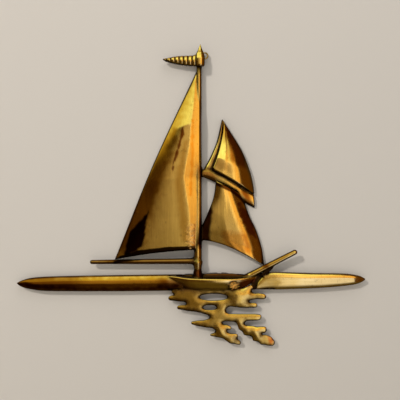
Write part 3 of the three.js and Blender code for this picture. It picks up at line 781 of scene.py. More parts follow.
def boolean(base, other, operation):
    """Joins another form to the base, or cuts it away, and deletes the other."""
    only(base)
    change = base.modifiers.new("shape", "BOOLEAN")
    change.operation = operation
    change.solver = "MANIFOLD"
    change.object = other
    bpy.ops.object.modifier_apply(modifier=change.name)
    bpy.data.objects.remove(other, do_unlink=True)


def joined(forms):
    """All the forms as one closed solid."""
    base = forms[0]
    for other in forms[1:]:
        boolean(base, other, "UNION")
    return base


def ease_seams(obj):
    """Cleans the joins between forms and rounds their inner corners, as a cast surface has them."""
    seam_gap, sliver = 0.25 * MM, 0.1 * MM
    edit(obj)
    bpy.ops.mesh.remove_doubles(threshold=seam_gap)
    bpy.ops.mesh.dissolve_degenerate(threshold=sliver)
    bpy.ops.mesh.quads_convert_to_tris()
    bpy.ops.mesh.select_all(action="DESELECT")
    surface = bmesh.from_edit_mesh(obj.data)
    least = math.radians(settings().seam_angle)
    for edge in surface.edges:
        if edge.is_manifold and edge.calc_face_angle_signed() < -least:
            edge.select_set(True)
    bmesh.update_edit_mesh(obj.data)
    for _ in range(settings().seam_rings):
        bpy.ops.mesh.select_more()
    bpy.ops.mesh.vertices_smooth(factor=0.5, repeat=settings().seam_rounds)
    object_mode()


def polish_by_hand(obj):
    """Slight waves of a surface that was ground and polished by hand, on the front alone."""
    height = settings().hand_waves
    long_wave, short_wave, short_share = 26, 9, 0.22
    # The waves are longer from back to front and up the piece than across it.
    outwards, upwards = 0.5, 0.45
    places, normals = coordinates(obj), normals_of(obj)
    facing = smooth(-normals[:, 1], 0.2, 0.7)
    for wave, share in ((long_wave, 1.0), (short_wave, short_share)):
        lift = np.array([
            noise.noise(Vector((x, y * outwards, z * upwards)) / (wave * MM)) for x, y, z in places])
        places += normals * (lift * facing * share * height)[:, None]
    set_points(obj, np.clip(places, CAD_BOX[0], CAD_BOX[1]))


# Patches that the wheel never reached, as (x, z, half width, half height, roughness in mm, flatness)
ROUGH_PATCHES = ((-17, 111, 9, 24, 0.34, 0), (69, 13, 9.5, 9, 0.14, 1))
# How far a flat patch lies below the surface round it in mm, and its slopes to the right and upwards
PATCH_SUNK, FALL_RIGHT, FALL_UP = 0.6, 0.16, 0.1
# The raggedness of a patch's edge as a share of its size, and the spacing of its tears and lumps in mm
PATCH_RAGGED, TEAR, LUMP = 0.55, 4, 5.5


def leave_rough(obj):
    """Raises the lumpy skin of the patches that stayed as cast, and returns 1 for each vertex in them."""
    full_skin, tears_from, lumps_from, widest = 0.5, 9.0, 3.0, 1.3
    places = coordinates(obj)
    x, z = places[:, 0] / MM + HANG_X, places[:, 2] / MM + HANG_Z
    front = (places[:, 1] < -FLOAT * MM) & (normals_of(obj)[:, 1] < 0)
    skin = np.zeros(len(x))
    for cx, cz, half_width, half_height, lift, flat in ROUGH_PATCHES:
        away = np.hypot((x - cx) / half_width, (z - cz) / half_height)
        near = np.flatnonzero((away < widest) & front)
        torn = np.array([noise.noise(Vector((x[i], tears_from, z[i])) / TEAR) for i in near])
        inside = smooth(away[near] + PATCH_RAGGED * torn, 1, 0.8)
        lumps = np.array([noise.noise(Vector((x[i], lumps_from, z[i])) / LUMP) for i in near])
        bump = lumps * lift * MM
        centre = places[near[np.argmin(away[near])], 1] - PATCH_SUNK * MM
        facet = centre + (FALL_RIGHT * (x[near] - cx) + FALL_UP * (z[near] - cz)) * MM
        places[near, 1] = mix(places[near, 1], facet, inside * flat) - bump * inside
        skin[near] = np.maximum(skin[near], inside * min(1, lift / full_skin + flat))
    set_points(obj, np.clip(places, CAD_BOX[0], CAD_BOX[1]))
    return skin


def spread(values, edges, rounds):
    """Lets a value per vertex soak outwards along the edges."""
    count = np.bincount(edges.ravel(), minlength=len(values)).clip(1)
    for _ in range(rounds):
        received = np.bincount(edges[:, 0], values[edges[:, 1]], len(values))
        received += np.bincount(edges[:, 1], values[edges[:, 0]], len(values))
        values = 0.5 * values + 0.5 * received / count
    return values


def recesses(obj):
    """0 to 1 for each vertex, highest in the inner corners, which the finish darkens."""
    full_fold, rounds, strength = 0.5, 3, 1.6
    surface = bmesh.new()
    surface.from_mesh(obj.data)
    deep = np.zeros(len(surface.verts))
    for edge in surface.edges:
        if edge.is_manifold:
            fold = -edge.calc_face_angle_signed()
            if fold > 0:
                for vertex in edge.verts:
                    deep[vertex.index] = max(deep[vertex.index], fold)
    edges = np.array([[v.index for v in e.verts] for e in surface.edges])
    surface.free()
    return np.clip(spread(np.clip(deep / full_fold, 0, 1), edges, rounds) * strength, 0, 1)


def depth_in(x, z, outline):
    """Distance in mm from a closed outline in the drawing, above 0 inside it."""
    p = np.array(outline, float)
    nearest, odd = np.full(len(x), np.inf), np.zeros(len(x), bool)
    for (ax, az), (bx, bz) in zip(p, np.roll(p, -1, 0)):
        along = ((x - ax) * (bx - ax) + (z - az) * (bz - az)) / ((bx - ax) ** 2 + (bz - az) ** 2)
        t = np.clip(along, 0, 1)
        nearest = np.minimum(nearest, np.hypot(x - mix(ax, bx, t), z - mix(az, bz, t)))
        if az != bz:
            odd ^= ((az > z) != (bz > z)) & (x < ax + (z - az) / (bz - az) * (bx - ax))
    return np.where(odd, nearest, -nearest)


def store(obj, name, values):
    """Keeps a value or a colour at each vertex, for the material to read."""
    kind = "FLOAT_COLOR" if values.ndim == 2 else "FLOAT"
    layer = obj.data.attributes.new(name, kind, "POINT")
    if kind == "FLOAT_COLOR":
        values = np.concatenate([values, np.ones((len(values), 1))], 1)
        layer.data.foreach_set("color", values.astype(np.float32).ravel())
    else:
        layer.data.foreach_set("value", values.astype(np.float32))


# Films of painted reflection and painted shade, with a few stains and darker tones, as (colour, softness of
# the edge in mm, raggedness in mm, outline in the drawing). A colour multiplies the brass, so 1 is clean
# metal.
PAINTED_LIGHT_AND_STAIN_FILMS = {
    # Painted dark reflection over the mainsail's leech side
    "mainsail_leech": (
        (0.62, 0.48, 0.22), 34, 8,
        ((-4, 420), (-36, 320), (-76, 200), (-105, 110), (-120, 60), (-190, 50), (-100, 300), (-12, 445))),
    # Painted reflection of a dark thing: a near-black patch near the clew
    "mainsail_clew": (
        (0.03, 0.008, 0.006), 3, 2,
        ((-100, 160), (-108, 120), (-112, 90), (-130, 78), (-152, 70), (-146, 92), (-138, 118),
         (-120, 139))),
    # Painted dark brown reflection along the leech
    "leech_brown": (
        (0.55, 0.42, 0.2), 16, 5,
        ((-50, 324), (-38, 324), (-60, 262), (-86, 190), (-112, 120), (-150, 76), (-170, 90), (-112, 214),
         (-72, 300))),
    "mainsail_drip": (
        (0.3, 0.14, 0.06), 2, 2.5,
        ((-35, 328), (-29, 327), (-30, 312), (-35, 300), (-36, 290), (-41, 282), (-44, 268), (-48, 258),
         (-51, 240), (-54, 240), (-52, 256), (-49, 266), (-46, 280), (-42, 288), (-40, 300), (-37, 314))),
    # Painted shade beside the bright strip by the mast
    "beside_strip": (
        (0.78, 0.66, 0.45), 12, 3,
        ((-30, 300), (-22, 300), (-34, 218), (-24, 150), (-20, 100), (-34, 100), (-40, 160), (-48, 218))),
    # Painted brown reflection at the head of the upper jib
    "jib_head": (
        (0.62, 0.44, 0.28), 16, 3,
        ((38, 352), (52, 350), (66, 318), (60, 296), (50, 300), (40, 322))),
    # Painted dark reflection along the upper jib's leech
    "jib_upper_right": (
        (0.48, 0.34, 0.17), 9, 3,
        ((52, 350), (56, 322), (59, 292), (62, 262), (74, 252), (94, 246), (96, 290), (70, 336))),
    # Painted dark reflection on the left end of the foot band
    "foot_band_root": (
        (0.42, 0.3, 0.22), 10, 3,
        ((-4, 252), (26, 246), (36, 226), (20, 212), (-4, 226))),
    "foot_band_edge": (
        (0.14, 0.08, 0.05), 2.5, 0.4,
        ((20, 225), (43, 215), (63, 206), (80, 193.5), (94, 178.5), (113, 169), (113, 160), (94, 170),
         (80, 185), (63, 198), (43, 207), (20, 218))),
    # Painted dark reflection down the lower jib, right of its bright band
    "jib_painted_dark_reflection": (
        (0.42, 0.23, 0.1), 6, 5,
        ((76, 180), (97, 160), (107, 134), (114, 106), (101, 114), (89, 134), (80, 156))),
    "jib_low_left": (
        (0.7, 0.64, 0.6), 10, 3,
        ((22, 268), (34, 264), (62, 250), (64, 236), (34, 248), (24, 256))),
    "jib_foot": (
        (0.8, 0.58, 0.34), 14, 4,
        ((46, 122), (96, 114), (106, 78), (84, 72), (48, 94))),
    # Painted shade, near black, on the mainsail's foot where its rim turns under
    "mainsail_foot": (
        (0.03, 0.02, 0.01), 2, 1,
        ((-175, 54), (-120, 62), (-60, 72), (-6, 77), (-8, 91), (-60, 89), (-120, 82), (-160, 69))),
    "luff_streak": (
        (0.95, 0.72, 0.32), 3, 3,
        ((-14, 340), (-10, 340), (-11, 250), (-15, 190), (-20, 190), (-16, 260))),
    # Painted shade on the mast's left flank
    "mast_left_side": (
        (0.4, 0.24, 0.15), 2, 0.6,
        ((-10, 134), (-7, 134), (-8, 84), (-12, 84))),
    # Painted shade on the mast's right flank
    "mast_right_side": (
        (0.4, 0.24, 0.15), 2, 0.6,
        ((0, 150), (8, 150), (8, 84), (-1, 84))),
    "boom": (
        (0.3, 0.22, 0.2), 2, 0,
        ((-226, 66), (-9, 68), (-9, 50), (-226, 50))),
    "deck": (
        (0.14, 0.07, 0.055), 2, 1,
        ((-46, 44), (-46, 30), (0, 27.5), (50, 27), (100, 29), (96, 46))),
    "stern": (
        (0.38, 0.24, 0.18), 24, 2,
        ((-80, 26), (-30, 25), (0, 0), (-40, -2), (-80, 10))),
    "bow": (
        (0.4, 0.15, 0.1), 2, 0.8,
        ((80, 19.5), (100, 22.5), (113, 25.5), (118, 22), (100, 8), (80, 2))),
    # Painted orange-red reflection on the tip of the right stream
    "stream_end": (
        (0.9, 0.42, 0.22), 4, 1.5,
        ((138, -92), (147, -94), (151, -105), (141, -107))),
    # Painted amber-brown reflection over the left water bar
    "left_bar": (
        (0.5, 0.34, 0.1), 14, 4,
        ((-380, 29), (-60, 30), (-60, -8), (-380, -8))),
    # Painted dark reflection towards the left bar's far end
    "left_bar_end": (
        (0.44, 0.32, 0.22), 60, 4,
        ((-400, 40), (-240, 40), (-240, -8), (-400, -8))),
    "left_bar_streak": (
        (0.34, 0.18, 0.09), 6, 4,
        ((-372, 17), (-250, 8), (-120, 7), (-40, 14), (-40, 4), (-200, 0), (-330, 4))),
    "lower_jib_tack": (
        (0.05, 0.02, 0.01), 7, 2,
        ((-8, 90), (4, 140), (22, 184), (27, 160), (23, 125), (22, 86))),
    # Painted dark reflection along the lower jib's leech
    "jib_leech": (
        (0.35, 0.2, 0.1), 8, 2,
        ((84, 204), (98, 151), (110, 127), (118, 104), (124, 82), (127, 45), (140, 45), (134, 90),
         (112, 165), (96, 204))),
    # Painted olive reflection on the right bar's left end
    "right_bar_root": (
        (0.62, 0.58, 0.44), 12, 5,
        ((116, 3), (118, 24), (126, 31), (150, 30), (168, 18), (150, 4))),
    "reflection": (
        (1.0, 0.96, 0.74), 4, 1,
        ((-80, 2), (100, 2), (150, 2), (170, -130), (-80, -130))),
    # Painted dark reflection, broad, over the left part of the reflection plate
    "reflection_left": (
        (0.66, 0.58, 0.42), 60, 8,
        ((-80, 0), (6, 0), (16, -70), (-60, -60))),
    # Painted olive reflection along the bowsprit's upper side
    "sprit_top": (
        (0.45, 0.33, 0.2), 3, 0.6,
        ((100, 36), (122, 47), (142, 58), (162, 69), (196, 88), (199, 85), (164, 64), (144, 53), (124, 42),
         (104, 31.5))),
    # Painted shade on the web between the bowsprit and the bar
    "sprit_web": (
        (0.06, 0.035, 0.025), 2, 0.6,
        ((117, 33), (121, 28), (128, 30), (136, 32), (144, 38), (157, 49), (142, 47), (128, 40))),
    # Painted shade, near black, under the bowsprit
    "sprit_underside": (
        (0.1, 0.06, 0.04), 2, 0.4,
        ((114, 34), (126, 40.5), (146, 51.5), (174, 67), (190, 75.5), (194, 70), (176, 58), (150, 42),
         (130, 30), (117, 24))),
    # Painted shadow, near black, in the gap between the bow and the right bar
    "bow_gap": (
        (0.04, 0.025, 0.02), 2, 0.6,
        ((107, 15), (113, 24), (115, 29), (128, 35.5), (148, 46.5), (158, 47), (148, 39), (130, 34.5),
         (119, 22.5), (114.5, 13), (113.5, 3), (108, 5))),
}

# The painted shade of the steep sides and the rims, which turn away from the front
SIDE_SHADE = (0.035, 0.018, 0.01)


def shaded_sides(normals, z):
    """Painted shade: 1 where the surface turns from the front, less on what faces up above the waterline."""
    upper_light = 0.3 * np.maximum(0, normals[:, 2]) * smooth(z, -3, 4)
    return 1 - smooth(-normals[:, 1] + upper_light, 0.45, 0.85)


def shaded_rims(x, z, depth):
    """Painted shade, 1 along the reflection's rims: narrow at their upper left, broad at their lower right.
    """
    left, right, above, probe = -62, 152, 6, 0.5
    low = z < above
    at_x, at_z = x[low], z[low]
    outward_x = ripples(at_x + probe, at_z) - ripples(at_x - probe, at_z)
    outward_z = ripples(at_x, at_z + probe) - ripples(at_x, at_z - probe)
    shaded = smooth(0.5 * outward_x - outward_z, -0.3, 0.5)
    rim = np.zeros(len(x))
    rim[low] = 1 - smooth(-ripples(at_x, at_z), mix(0.2, 1.4, shaded), mix(1.2, 2.8, shaded))
    highest = FLOAT + settings().ripple_depth / MM + 1.5
    return rim * (depth < highest) * (x > left) * (x < right)


def painted_light_and_stain_tones(obj):
    """Tone per vertex: painted reflections, shade and stains, then painted shade on the sides and rims."""
    edge_wave, layer = 9, 7.0
    places = coordinates(obj) / MM
    x, z = places[:, 0] + HANG_X, places[:, 2] + HANG_Z
    ragged = np.array([noise.noise(Vector((a, b, layer)) / edge_wave) for a, b in zip(x, z)])
    tone = np.ones((len(x), 3))
    for colour, softness, rag, outline in PAINTED_LIGHT_AND_STAIN_FILMS.values():
        cover = smooth(depth_in(x, z, outline) + rag * ragged, -softness / 2, softness / 2)[:, None]
        tone *= mix(1, np.array(colour), cover)
    dark = np.maximum(shaded_sides(normals_of(obj), z), shaded_rims(x, z, -places[:, 1]))
    return tone * mix(1, np.array(SIDE_SHADE), dark[:, None])


class BOAT_OT_casting(bpy.types.Operator):
    """Shapes every form of the boat, joins them and hollows the back, as one casting"""

    bl_idname = "boat.casting"
    bl_label = "Casting"

    def execute(self, context):
        rods, mast = spar_forms()
        sails = [*mainsail_forms(), *lower_jib_forms()]
        forms = [*sails, *hull_forms(), *upper_jib_forms(), *water_bar_forms()]
        outers = [form for outer, _ in forms for form in outer]
        cores = [form for _, core in forms for form in core]
        shell = joined([*outers, *mast[0], reflection_form()])
        boolean(shell, joined(cores), "DIFFERENCE")
        solid = [form for outer, _ in (rods, *pennant_forms()) for form in outer]
        casting = joined([shell, *solid])
        casting.name = "cast_sailboat"
        ease_seams(casting)
        polish_by_hand(casting)
        store(casting, "skin", leave_rough(casting))
        store(casting, "recess", recesses(casting))
        # Painted reflections and painted shade, with a few stains, kept at each vertex
        store(casting, "painted_light_and_stain_tone", painted_light_and_stain_tones(casting))
        bpy.ops.object.shade_smooth_by_angle(angle=math.radians(38))
        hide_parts(CASTING)
        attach(casting, "root")
        return {"FINISHED"}


class BOAT_OT_hanging_loop(bpy.types.Operator):
    """Bends the wire loop behind the masthead, thicker where it is brazed on"""

    bl_idname = "boat.hanging_loop"
    bl_label = "Hanging loop"

    def execute(self, context):
        wire, radius, depth, braze = 1.4, 6.1, 5.1, 0.22
        brazed_from, brazed_full, lump = 4.2 * MM, 6 * MM, 1.1 * MM
        object_mode()
        bpy.ops.object.select_all(action="DESELECT")
        bpy.ops.mesh.primitive_torus_add(
            major_radius=radius * MM, minor_radius=wire * MM, major_segments=96, minor_segments=24)
        loop = bpy.context.object
        loop.name = "wire_loop"
        loop.data.transform(Matrix.Rotation(math.pi / 2, 4, "X"))
        places = coordinates(loop)
        away = np.linalg.norm(places[:, (0, 2)], axis=1)[:, None]
        ring = places / away * radius * MM
        ring[:, 1] = 0
        lumpy = np.array([noise.noise(Vector(p) / lump) for p in places])
        brazed = smooth(-places[:, 0], brazed_from, brazed_full) * (0.6 + 0.4 * lumpy)
        places = ring + (places - ring) * (1 + brazed * braze / wire)[:, None]
        set_points(loop, places + np.array(row_point(HANG_X, depth, HANG_Z - radius + wire)))
        loop.data.materials.append(bpy.data.materials["drawn_brass_wire"])
        bpy.ops.object.shade_smooth()
        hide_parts(LOOP)
        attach(loop, "root")
        return {"FINISHED"}


class BoatCastingSettings(bpy.types.PropertyGroup):
    fineness: bpy.props.FloatProperty(
        name="Fineness", description="Spacing of the casting's surface points", default=2.2 * MM,
        min=1 * MM, subtype="DISTANCE", unit="LENGTH")
    sail_crown: bpy.props.FloatProperty(
        name="Sail crown", description="How far the mainsail swells", default=17 * MM,
        subtype="DISTANCE", unit="LENGTH")
    hull_crown: bpy.props.FloatProperty(
        name="Hull crown", description="How far the hull swells", default=17 * MM,
        subtype="DISTANCE", unit="LENGTH")
    bar_depth: bpy.props.FloatProperty(
        name="Bar depth", description="Depth of the two water bars", default=9 * MM,
        subtype="DISTANCE", unit="LENGTH")
    ripple_depth: bpy.props.FloatProperty(
        name="Ripple depth", description="Depth of the reflection's rim", default=5 * MM,
        subtype="DISTANCE", unit="LENGTH")
    hand_waves: bpy.props.FloatProperty(
        name="Hand waves", description="Height of the waves left by hand polishing", default=0.13 * MM,
        subtype="DISTANCE", unit="LENGTH")
    seam_angle: bpy.props.FloatProperty(
        name="Seam angle", description="Inner corners sharper than this are rounded, in degrees", default=14)
    seam_rings: bpy.props.IntProperty(
        name="Seam rings", description="How many rows of points a seam's rounding takes in", default=1)
    seam_rounds: bpy.props.IntProperty(
        name="Seam rounds", description="How often a seam is smoothed", default=5)


# Materials

def material(name):
    """An emptied material of that name, which keeps its place in the slots."""
    made = bpy.data.materials.get(name) or bpy.data.materials.new(name)
    made.use_nodes = True
    made.node_tree.nodes.clear()
    return made


def linked(tree, kind, inputs, **values):
    """A node with its properties set and its inputs set or linked."""
    node = tree.nodes.new(kind)
    for name, value in values.items():
        setattr(node, name, value)
    for name, value in inputs.items():
        socket = node.inputs[name]
        if isinstance(value, bpy.types.NodeSocket):
            tree.links.new(value, socket)
        else:
            socket.default_value = value
    return node


def ranged(tree, value, low, high, start=0.0, end=1.0):
    """A value of low to high spread over start to end, and held there."""
    return linked(tree, "ShaderNodeMapRange", {"Value": value, "From Min": low, "From Max": high,
                                               "To Min": start, "To Max": end}).outputs["Result"]


def blended(tree, share, a, b, kind="MIX"):
    node = tree.nodes.new("ShaderNodeMix")
    node.data_type = "RGBA"
    node.blend_type = kind
    node.clamp_factor = True
    for index, value in ((0, share), (6, a), (7, b)):
        if isinstance(value, bpy.types.NodeSocket):
            tree.links.new(value, node.inputs[index])
        else:
            node.inputs[index].default_value = value
    return node.outputs[2]


def product(tree, a, b):
    return linked(tree, "ShaderNodeMath", {0: a, 1: b}, operation="MULTIPLY").outputs[0]


def total(tree, a, b):
    return linked(tree, "ShaderNodeMath", {0: a, 1: b}, operation="ADD").outputs[0]


def stored(tree, name, output="Fac"):
    """What a piece keeps at its points under that name."""
    return linked(tree, "ShaderNodeAttribute", {}, attribute_name=name).outputs[output]


def bumped(tree, height, strength, distance):
    """The surface's direction, with its height taken into account. distance is in metres."""
    return linked(tree, "ShaderNodeBump", {
        "Height": height, "Strength": strength, "Distance": distance}).outputs[0]


def metal(tree, colour, rough, **direction):
    """The metal itself, and the material's output."""
    shader = linked(tree, "ShaderNodeBsdfPrincipled", {
        "Base Color": colour, "Metallic": 1.0, "Roughness": rough, **direction})
    linked(tree, "ShaderNodeOutputMaterial", {"Surface": shader.outputs[0]})


def group(name, inputs, outputs):
    """A new node group with float inputs and outputs, and its two end nodes."""
    tree = bpy.data.node_groups.new(name, "ShaderNodeTree")
    for label, value in inputs.items():
        socket = tree.interface.new_socket(label, in_out="INPUT", socket_type="NodeSocketFloat")
        socket.default_value = value
    for label in outputs:
        tree.interface.new_socket(label, in_out="OUTPUT", socket_type="NodeSocketFloat")
    return tree, tree.nodes.new("NodeGroupInput").outputs, tree.nodes.new("NodeGroupOutput").inputs


def placed(tree, source, values):
    """The outputs of a node group, placed in a material with its own values."""
    node = tree.nodes.new("ShaderNodeGroup")
    node.node_tree = source
    for label, value in values.items():
        node.inputs[label].default_value = value
    return node.outputs


def object_noise(tree, scale, stretch=(1, 1, 1), detail=3.0, roughness=0.55, turn=(0, 0, 0)):
    """Noise in the object's own coordinates, scale in features per metre."""
    at = linked(tree, "ShaderNodeTexCoord", {}).outputs["Object"]
    mapped = linked(tree, "ShaderNodeMapping", {"Vector": at, "Scale": stretch, "Rotation": turn})
    return linked(tree, "ShaderNodeTexNoise", {
        "Vector": mapped.outputs[0], "Scale": scale, "Detail": detail, "Roughness": roughness,
    }).outputs["Fac"]


def tarnish_clouds():
    """Uneven tarnish in broad clouds and small spots."""
    tree, into, out = group("tarnish_clouds", {"Clouds": 14.0, "Spots": 150.0}, ("Cloud", "Spot"))
    clouds = object_noise(tree, into["Clouds"], detail=5, roughness=0.6)
    spots = object_noise(tree, into["Spots"], detail=2)
    tree.links.new(ranged(tree, clouds, 0.35, 0.68), out["Cloud"])
    tree.links.new(ranged(tree, spots, 0.62, 0.78), out["Spot"])
    return tree


def buffing_marks():
    """Fine marks and broad bands of the polishing wheel, upright on the sails and level on the hull and
    the water, and a few scratches across them."""
    tree, into, out = group(
        "buffing_marks", {"Fineness": 420.0, "Breadth": 105.0}, ("Marks", "Bands", "Scratches"))
    sails_above, water_below, drawn_out = 46, 40, 0.045
    place = linked(tree, "ShaderNodeTexCoord", {}).outputs["Object"]
    height = linked(tree, "ShaderNodeSeparateXYZ", {"Vector": place}).outputs[2]
    on_water = ranged(tree, height, (sails_above - HANG_Z) * MM, (water_below - HANG_Z) * MM)
    for size, output, low, high in (("Fineness", "Marks", 0.3, 0.7), ("Breadth", "Bands", 0.42, 0.62)):
        upright = object_noise(tree, into[size], stretch=(1, 1, drawn_out), detail=3, roughness=0.7)
        level = object_noise(tree, into[size], stretch=(drawn_out, 1, 1), detail=3, roughness=0.7)
        tree.links.new(ranged(tree, blended(tree, on_water, upright, level), low, high), out[output])
    across = object_noise(tree, into["Fineness"], stretch=(0.9, 1, 0.02), detail=1, turn=(0, 0.5, 0))
    tree.links.new(ranged(tree, across, 0.7, 0.76), out["Scratches"])
    return tree


def aged_polished_brass(clouds, buffing):
    """Polished brass gone golden and brown, times the stored painted reflections, shade and stains, with
    darkened corners and rough patches.
    """
    finish = bpy.context.scene.boat_finish
    clean, brown, dirt = (*finish.brass, 1), (*finish.brown_brass, 1), (*finish.dirt, 1)
    tree = material("aged_polished_brass").node_tree
    cloud, spot = placed(tree, clouds, {"Clouds": 13.0, "Spots": 160.0})[:2]
    marks, bands, scratches = placed(tree, buffing, {"Fineness": 420.0, "Breadth": 105.0})[:3]
    recess, skin = stored(tree, "recess"), stored(tree, "skin")
    mottle = ranged(tree, object_noise(tree, 190.0, detail=4, roughness=0.65), 0.45, 0.62)
    colour = clean
    for mask, share in ((cloud, 0.55), (marks, 0.3), (bands, 0.34)):
        colour = blended(tree, product(tree, mask, share), colour, brown)
    # The stored painted reflections and painted shade, with a few stains, multiply the brass
    colour = blended(tree, 1.0, colour, stored(tree, "painted_light_and_stain_tone", "Color"), "MULTIPLY")
    # Dark spots, and the inner corners darkened towards the dirt colour
    for mask, share in ((spot, 0.35), (recess, 0.95)):
        colour = blended(tree, product(tree, mask, share), colour, dirt)
    colour = blended(tree, product(tree, skin, 0.75), colour, (*finish.bare_skin, 1))
    colour = blended(tree, product(tree, product(tree, skin, mottle), 0.5), colour, dirt)
    rough = ranged(tree, marks, 0, 1, 0.08, 0.15)
    for mask, more in ((skin, 0.18), (cloud, 0.06), (recess, 0.35)):
        rough = total(tree, rough, product(tree, mask, more))
    height = linked(tree, "ShaderNodeMath", {0: product(tree, marks, 0.5), 1: scratches},
                    operation="SUBTRACT").outputs[0]
    metal(tree, colour, rough, Normal=bumped(tree, height, 0.12, 0.0002))


def sand_cast_brass(clouds):
    """The grainy brown skin of the back, as it came out of the sand."""
    finish = bpy.context.scene.boat_finish
    tree = material("sand_cast_brass").node_tree
    cloud, spot = placed(tree, clouds, {"Clouds": 30.0, "Spots": 400.0})[:2]
    grain = object_noise(tree, 900.0, detail=6, roughness=0.7)
    colour = blended(tree, cloud, (*finish.cast_skin, 1), (*finish.dirt, 1))
    colour = blended(tree, product(tree, spot, 0.5), colour, (*finish.brass, 1))
    rough = ranged(tree, grain, 0.3, 0.7, 0.5, 0.75)
    metal(tree, colour, rough, Normal=bumped(tree, grain, 0.6, 0.0006))


def drawn_brass_wire(clouds):
    """Smooth tarnished wire."""
    finish = bpy.context.scene.boat_finish
    tree = material("drawn_brass_wire").node_tree
    cloud, spot = placed(tree, clouds, {"Clouds": 160.0, "Spots": 900.0})[:2]
    colour = blended(tree, cloud, (*finish.brown_brass, 1), (*finish.cast_skin, 1))
    colour = blended(tree, product(tree, spot, 0.6), colour, (*finish.dirt, 1))
    metal(tree, colour, ranged(tree, cloud, 0, 1, 0.28, 0.46))


class BOAT_OT_finishes(bpy.types.Operator):
    """Makes the polished, cast and wire finishes"""

    bl_idname = "boat.finishes"
    bl_label = "Finishes"

    def execute(self, context):
        clouds, buffing = tarnish_clouds(), buffing_marks()
        aged_polished_brass(clouds, buffing)
        sand_cast_brass(clouds)
        drawn_brass_wire(clouds)
        return {"FINISHED"}


# Stage

def area_lamp(name, place, aim, size, power, colour):
    """A square lamp that lights the piece but shows neither to the camera nor in the metal."""
    data = bpy.data.lights.new(name, "AREA")
    data.shape, data.size, data.size_y = "RECTANGLE", size, size
    data.energy, data.color = power, colour
    lamp = bpy.data.objects.new(name, data)
    bpy.context.collection.objects.link(lamp)
    lamp.location = place
    lamp.rotation_euler = (Vector(aim) - Vector(place)).to_track_quat("-Z", "Y").to_euler()
    lamp.visible_camera = lamp.visible_glossy = False


def plane(name, centre, size, turn):
    """A flat sheet, turned about the line from left to right and then set in its place."""
    object_mode()
    bpy.ops.object.select_all(action="DESELECT")
    bpy.ops.mesh.primitive_plane_add(size=1)
    obj = bpy.context.object
    obj.name = name
    turned_up = Matrix.Rotation(turn, 4, "X")
    obj.data.transform(Matrix.Translation(centre) @ turned_up @ Matrix.Diagonal((*size, 1, 1)))
    return obj


def one_sided_paint(name, colour):
    """Matt paint that is open from behind, so that the sculpture's back can be seen and lit."""
    made = material(name)
    tree = made.node_tree
    paint = linked(tree, "ShaderNodeBsdfPrincipled", {
        "Base Color": (*colour, 1), "Roughness": 0.85, "Specular IOR Level": 0.2})
    clear = linked(tree, "ShaderNodeBsdfTransparent", {})
    behind = linked(tree, "ShaderNodeNewGeometry", {}).outputs["Backfacing"]
    both = linked(tree, "ShaderNodeMixShader", {0: behind, 1: paint.outputs[0], 2: clear.outputs[0]})
    linked(tree, "ShaderNodeOutputMaterial", {"Surface": both.outputs[0]})
    return made


class BOAT_OT_stage(bpy.types.Operator):
    """Sets the backdrop, floor, lamps, surroundings and camera"""

    bl_idname = "boat.stage"
    bl_label = "Stage"

    def execute(self, context):
        studio = context.scene.boat_studio
        width, height, reach, below_sculpture, behind_sculpture = 8, 5, 4.0024, 0.2, 0.0012
        floor_height = CAD_BOX[0].z - below_sculpture
        backdrop = plane("backdrop", (0, behind_sculpture, floor_height + height / 2), (width, height),
                         math.pi / 2)
        floor = plane("floor", (0, behind_sculpture - reach / 2, floor_height), (width, reach), 0)
        backdrop.data.materials.append(one_sided_paint("backdrop_paint", studio.backdrop_colour))
        floor.data.materials.append(one_sided_paint("floor_paint", studio.floor_colour))
        backdrop.visible_glossy = floor.visible_glossy = False
        # The middle of the picture, and where the lamps stand from there
        middle = Vector((-0.0095, 0, -0.295))
        upper_left, above = Vector((-3.1, -3.6, 2.9)), Vector((0.45, -1.2, 2.2))
        area_lamp("key_lamp", middle + upper_left, middle, 0.5, studio.key_power, (1, 0.95, 0.88))
        area_lamp("ceiling_panel", middle + above, middle, 1.6, studio.fill_power, (1, 0.97, 0.93))
        camera = bpy.data.objects.new("camera", bpy.data.cameras.new("camera"))
        context.collection.objects.link(camera)
        distance, face_depth, frame_width, film_width = studio.camera_distance, 0.012, 0.8, 36
        camera.location = middle - Vector((0, distance, 0))
        camera.rotation_euler = (math.pi / 2, 0, 0)
        camera.data.sensor_width = film_width
        camera.data.lens = film_width * (distance - face_depth) / frame_width
        context.scene.camera = camera
        context.scene.view_settings.view_transform = "Standard"
        surroundings(context.scene)
        return {"FINISHED"}


def pane(tree, side, height, left, right, low, high, edge=0.02):
    """1 inside a rectangle of directions, as sines to the right and upwards."""
    across = product(tree, ranged(tree, side, left - edge, left + edge),
                     ranged(tree, side, right + edge, right - edge))
    upright = product(tree, ranged(tree, height, low - edge, low + edge),
                      ranged(tree, height, high + edge, high - edge))
    return product(tree, across, upright)


def layered(tree, base, *layers):
    """Lays each (mask, colour) over what came before it."""
    for mask, colour in layers:
        base = blended(tree, mask, base, colour)
    return base


# Colours of the room, past 1 where it is brighter than the sculpture's surroundings
DARK_BROWN, DARK_WOOD, DARK_FLOOR = (0.085, 0.045, 0.008, 1), (0.12, 0.046, 0.003, 1), (0.11, 0.08, 0.02, 1)
DIM_LOW, DIM_HIGH = (0.47, 0.38, 0.20, 1), (0.64, 0.50, 0.28, 1)
CREAM_LINE, CREAM_FIELD, CREAM_EDGE = (1.5, 1.25, 0.8, 1), (1.0, 0.88, 0.6, 1), (1.5, 1.25, 0.75, 1)
ORANGE_LOW, ORANGE_HIGH, ORANGE_EDGE = (0.75, 0.42, 0.12, 1), (1.3, 0.78, 0.23, 1), (1.7, 1.3, 0.7, 1)
OLIVE_FLOOR, PALE_FLOOR, BLUE_FLOOR = (0.24, 0.18, 0.07, 1), (1.0, 0.92, 0.75, 1), (1.15, 1.2, 1.6, 1)
GREEN_WINDOW = (1.45, 1.6, 0.8, 1)
EDGE_ON, BEHIND = (0.05, 0.035, 0.02, 1), (0.5, 0.46, 0.4, 1)
SOFT_LIGHT = (0.42, 0.42, 0.42, 1)


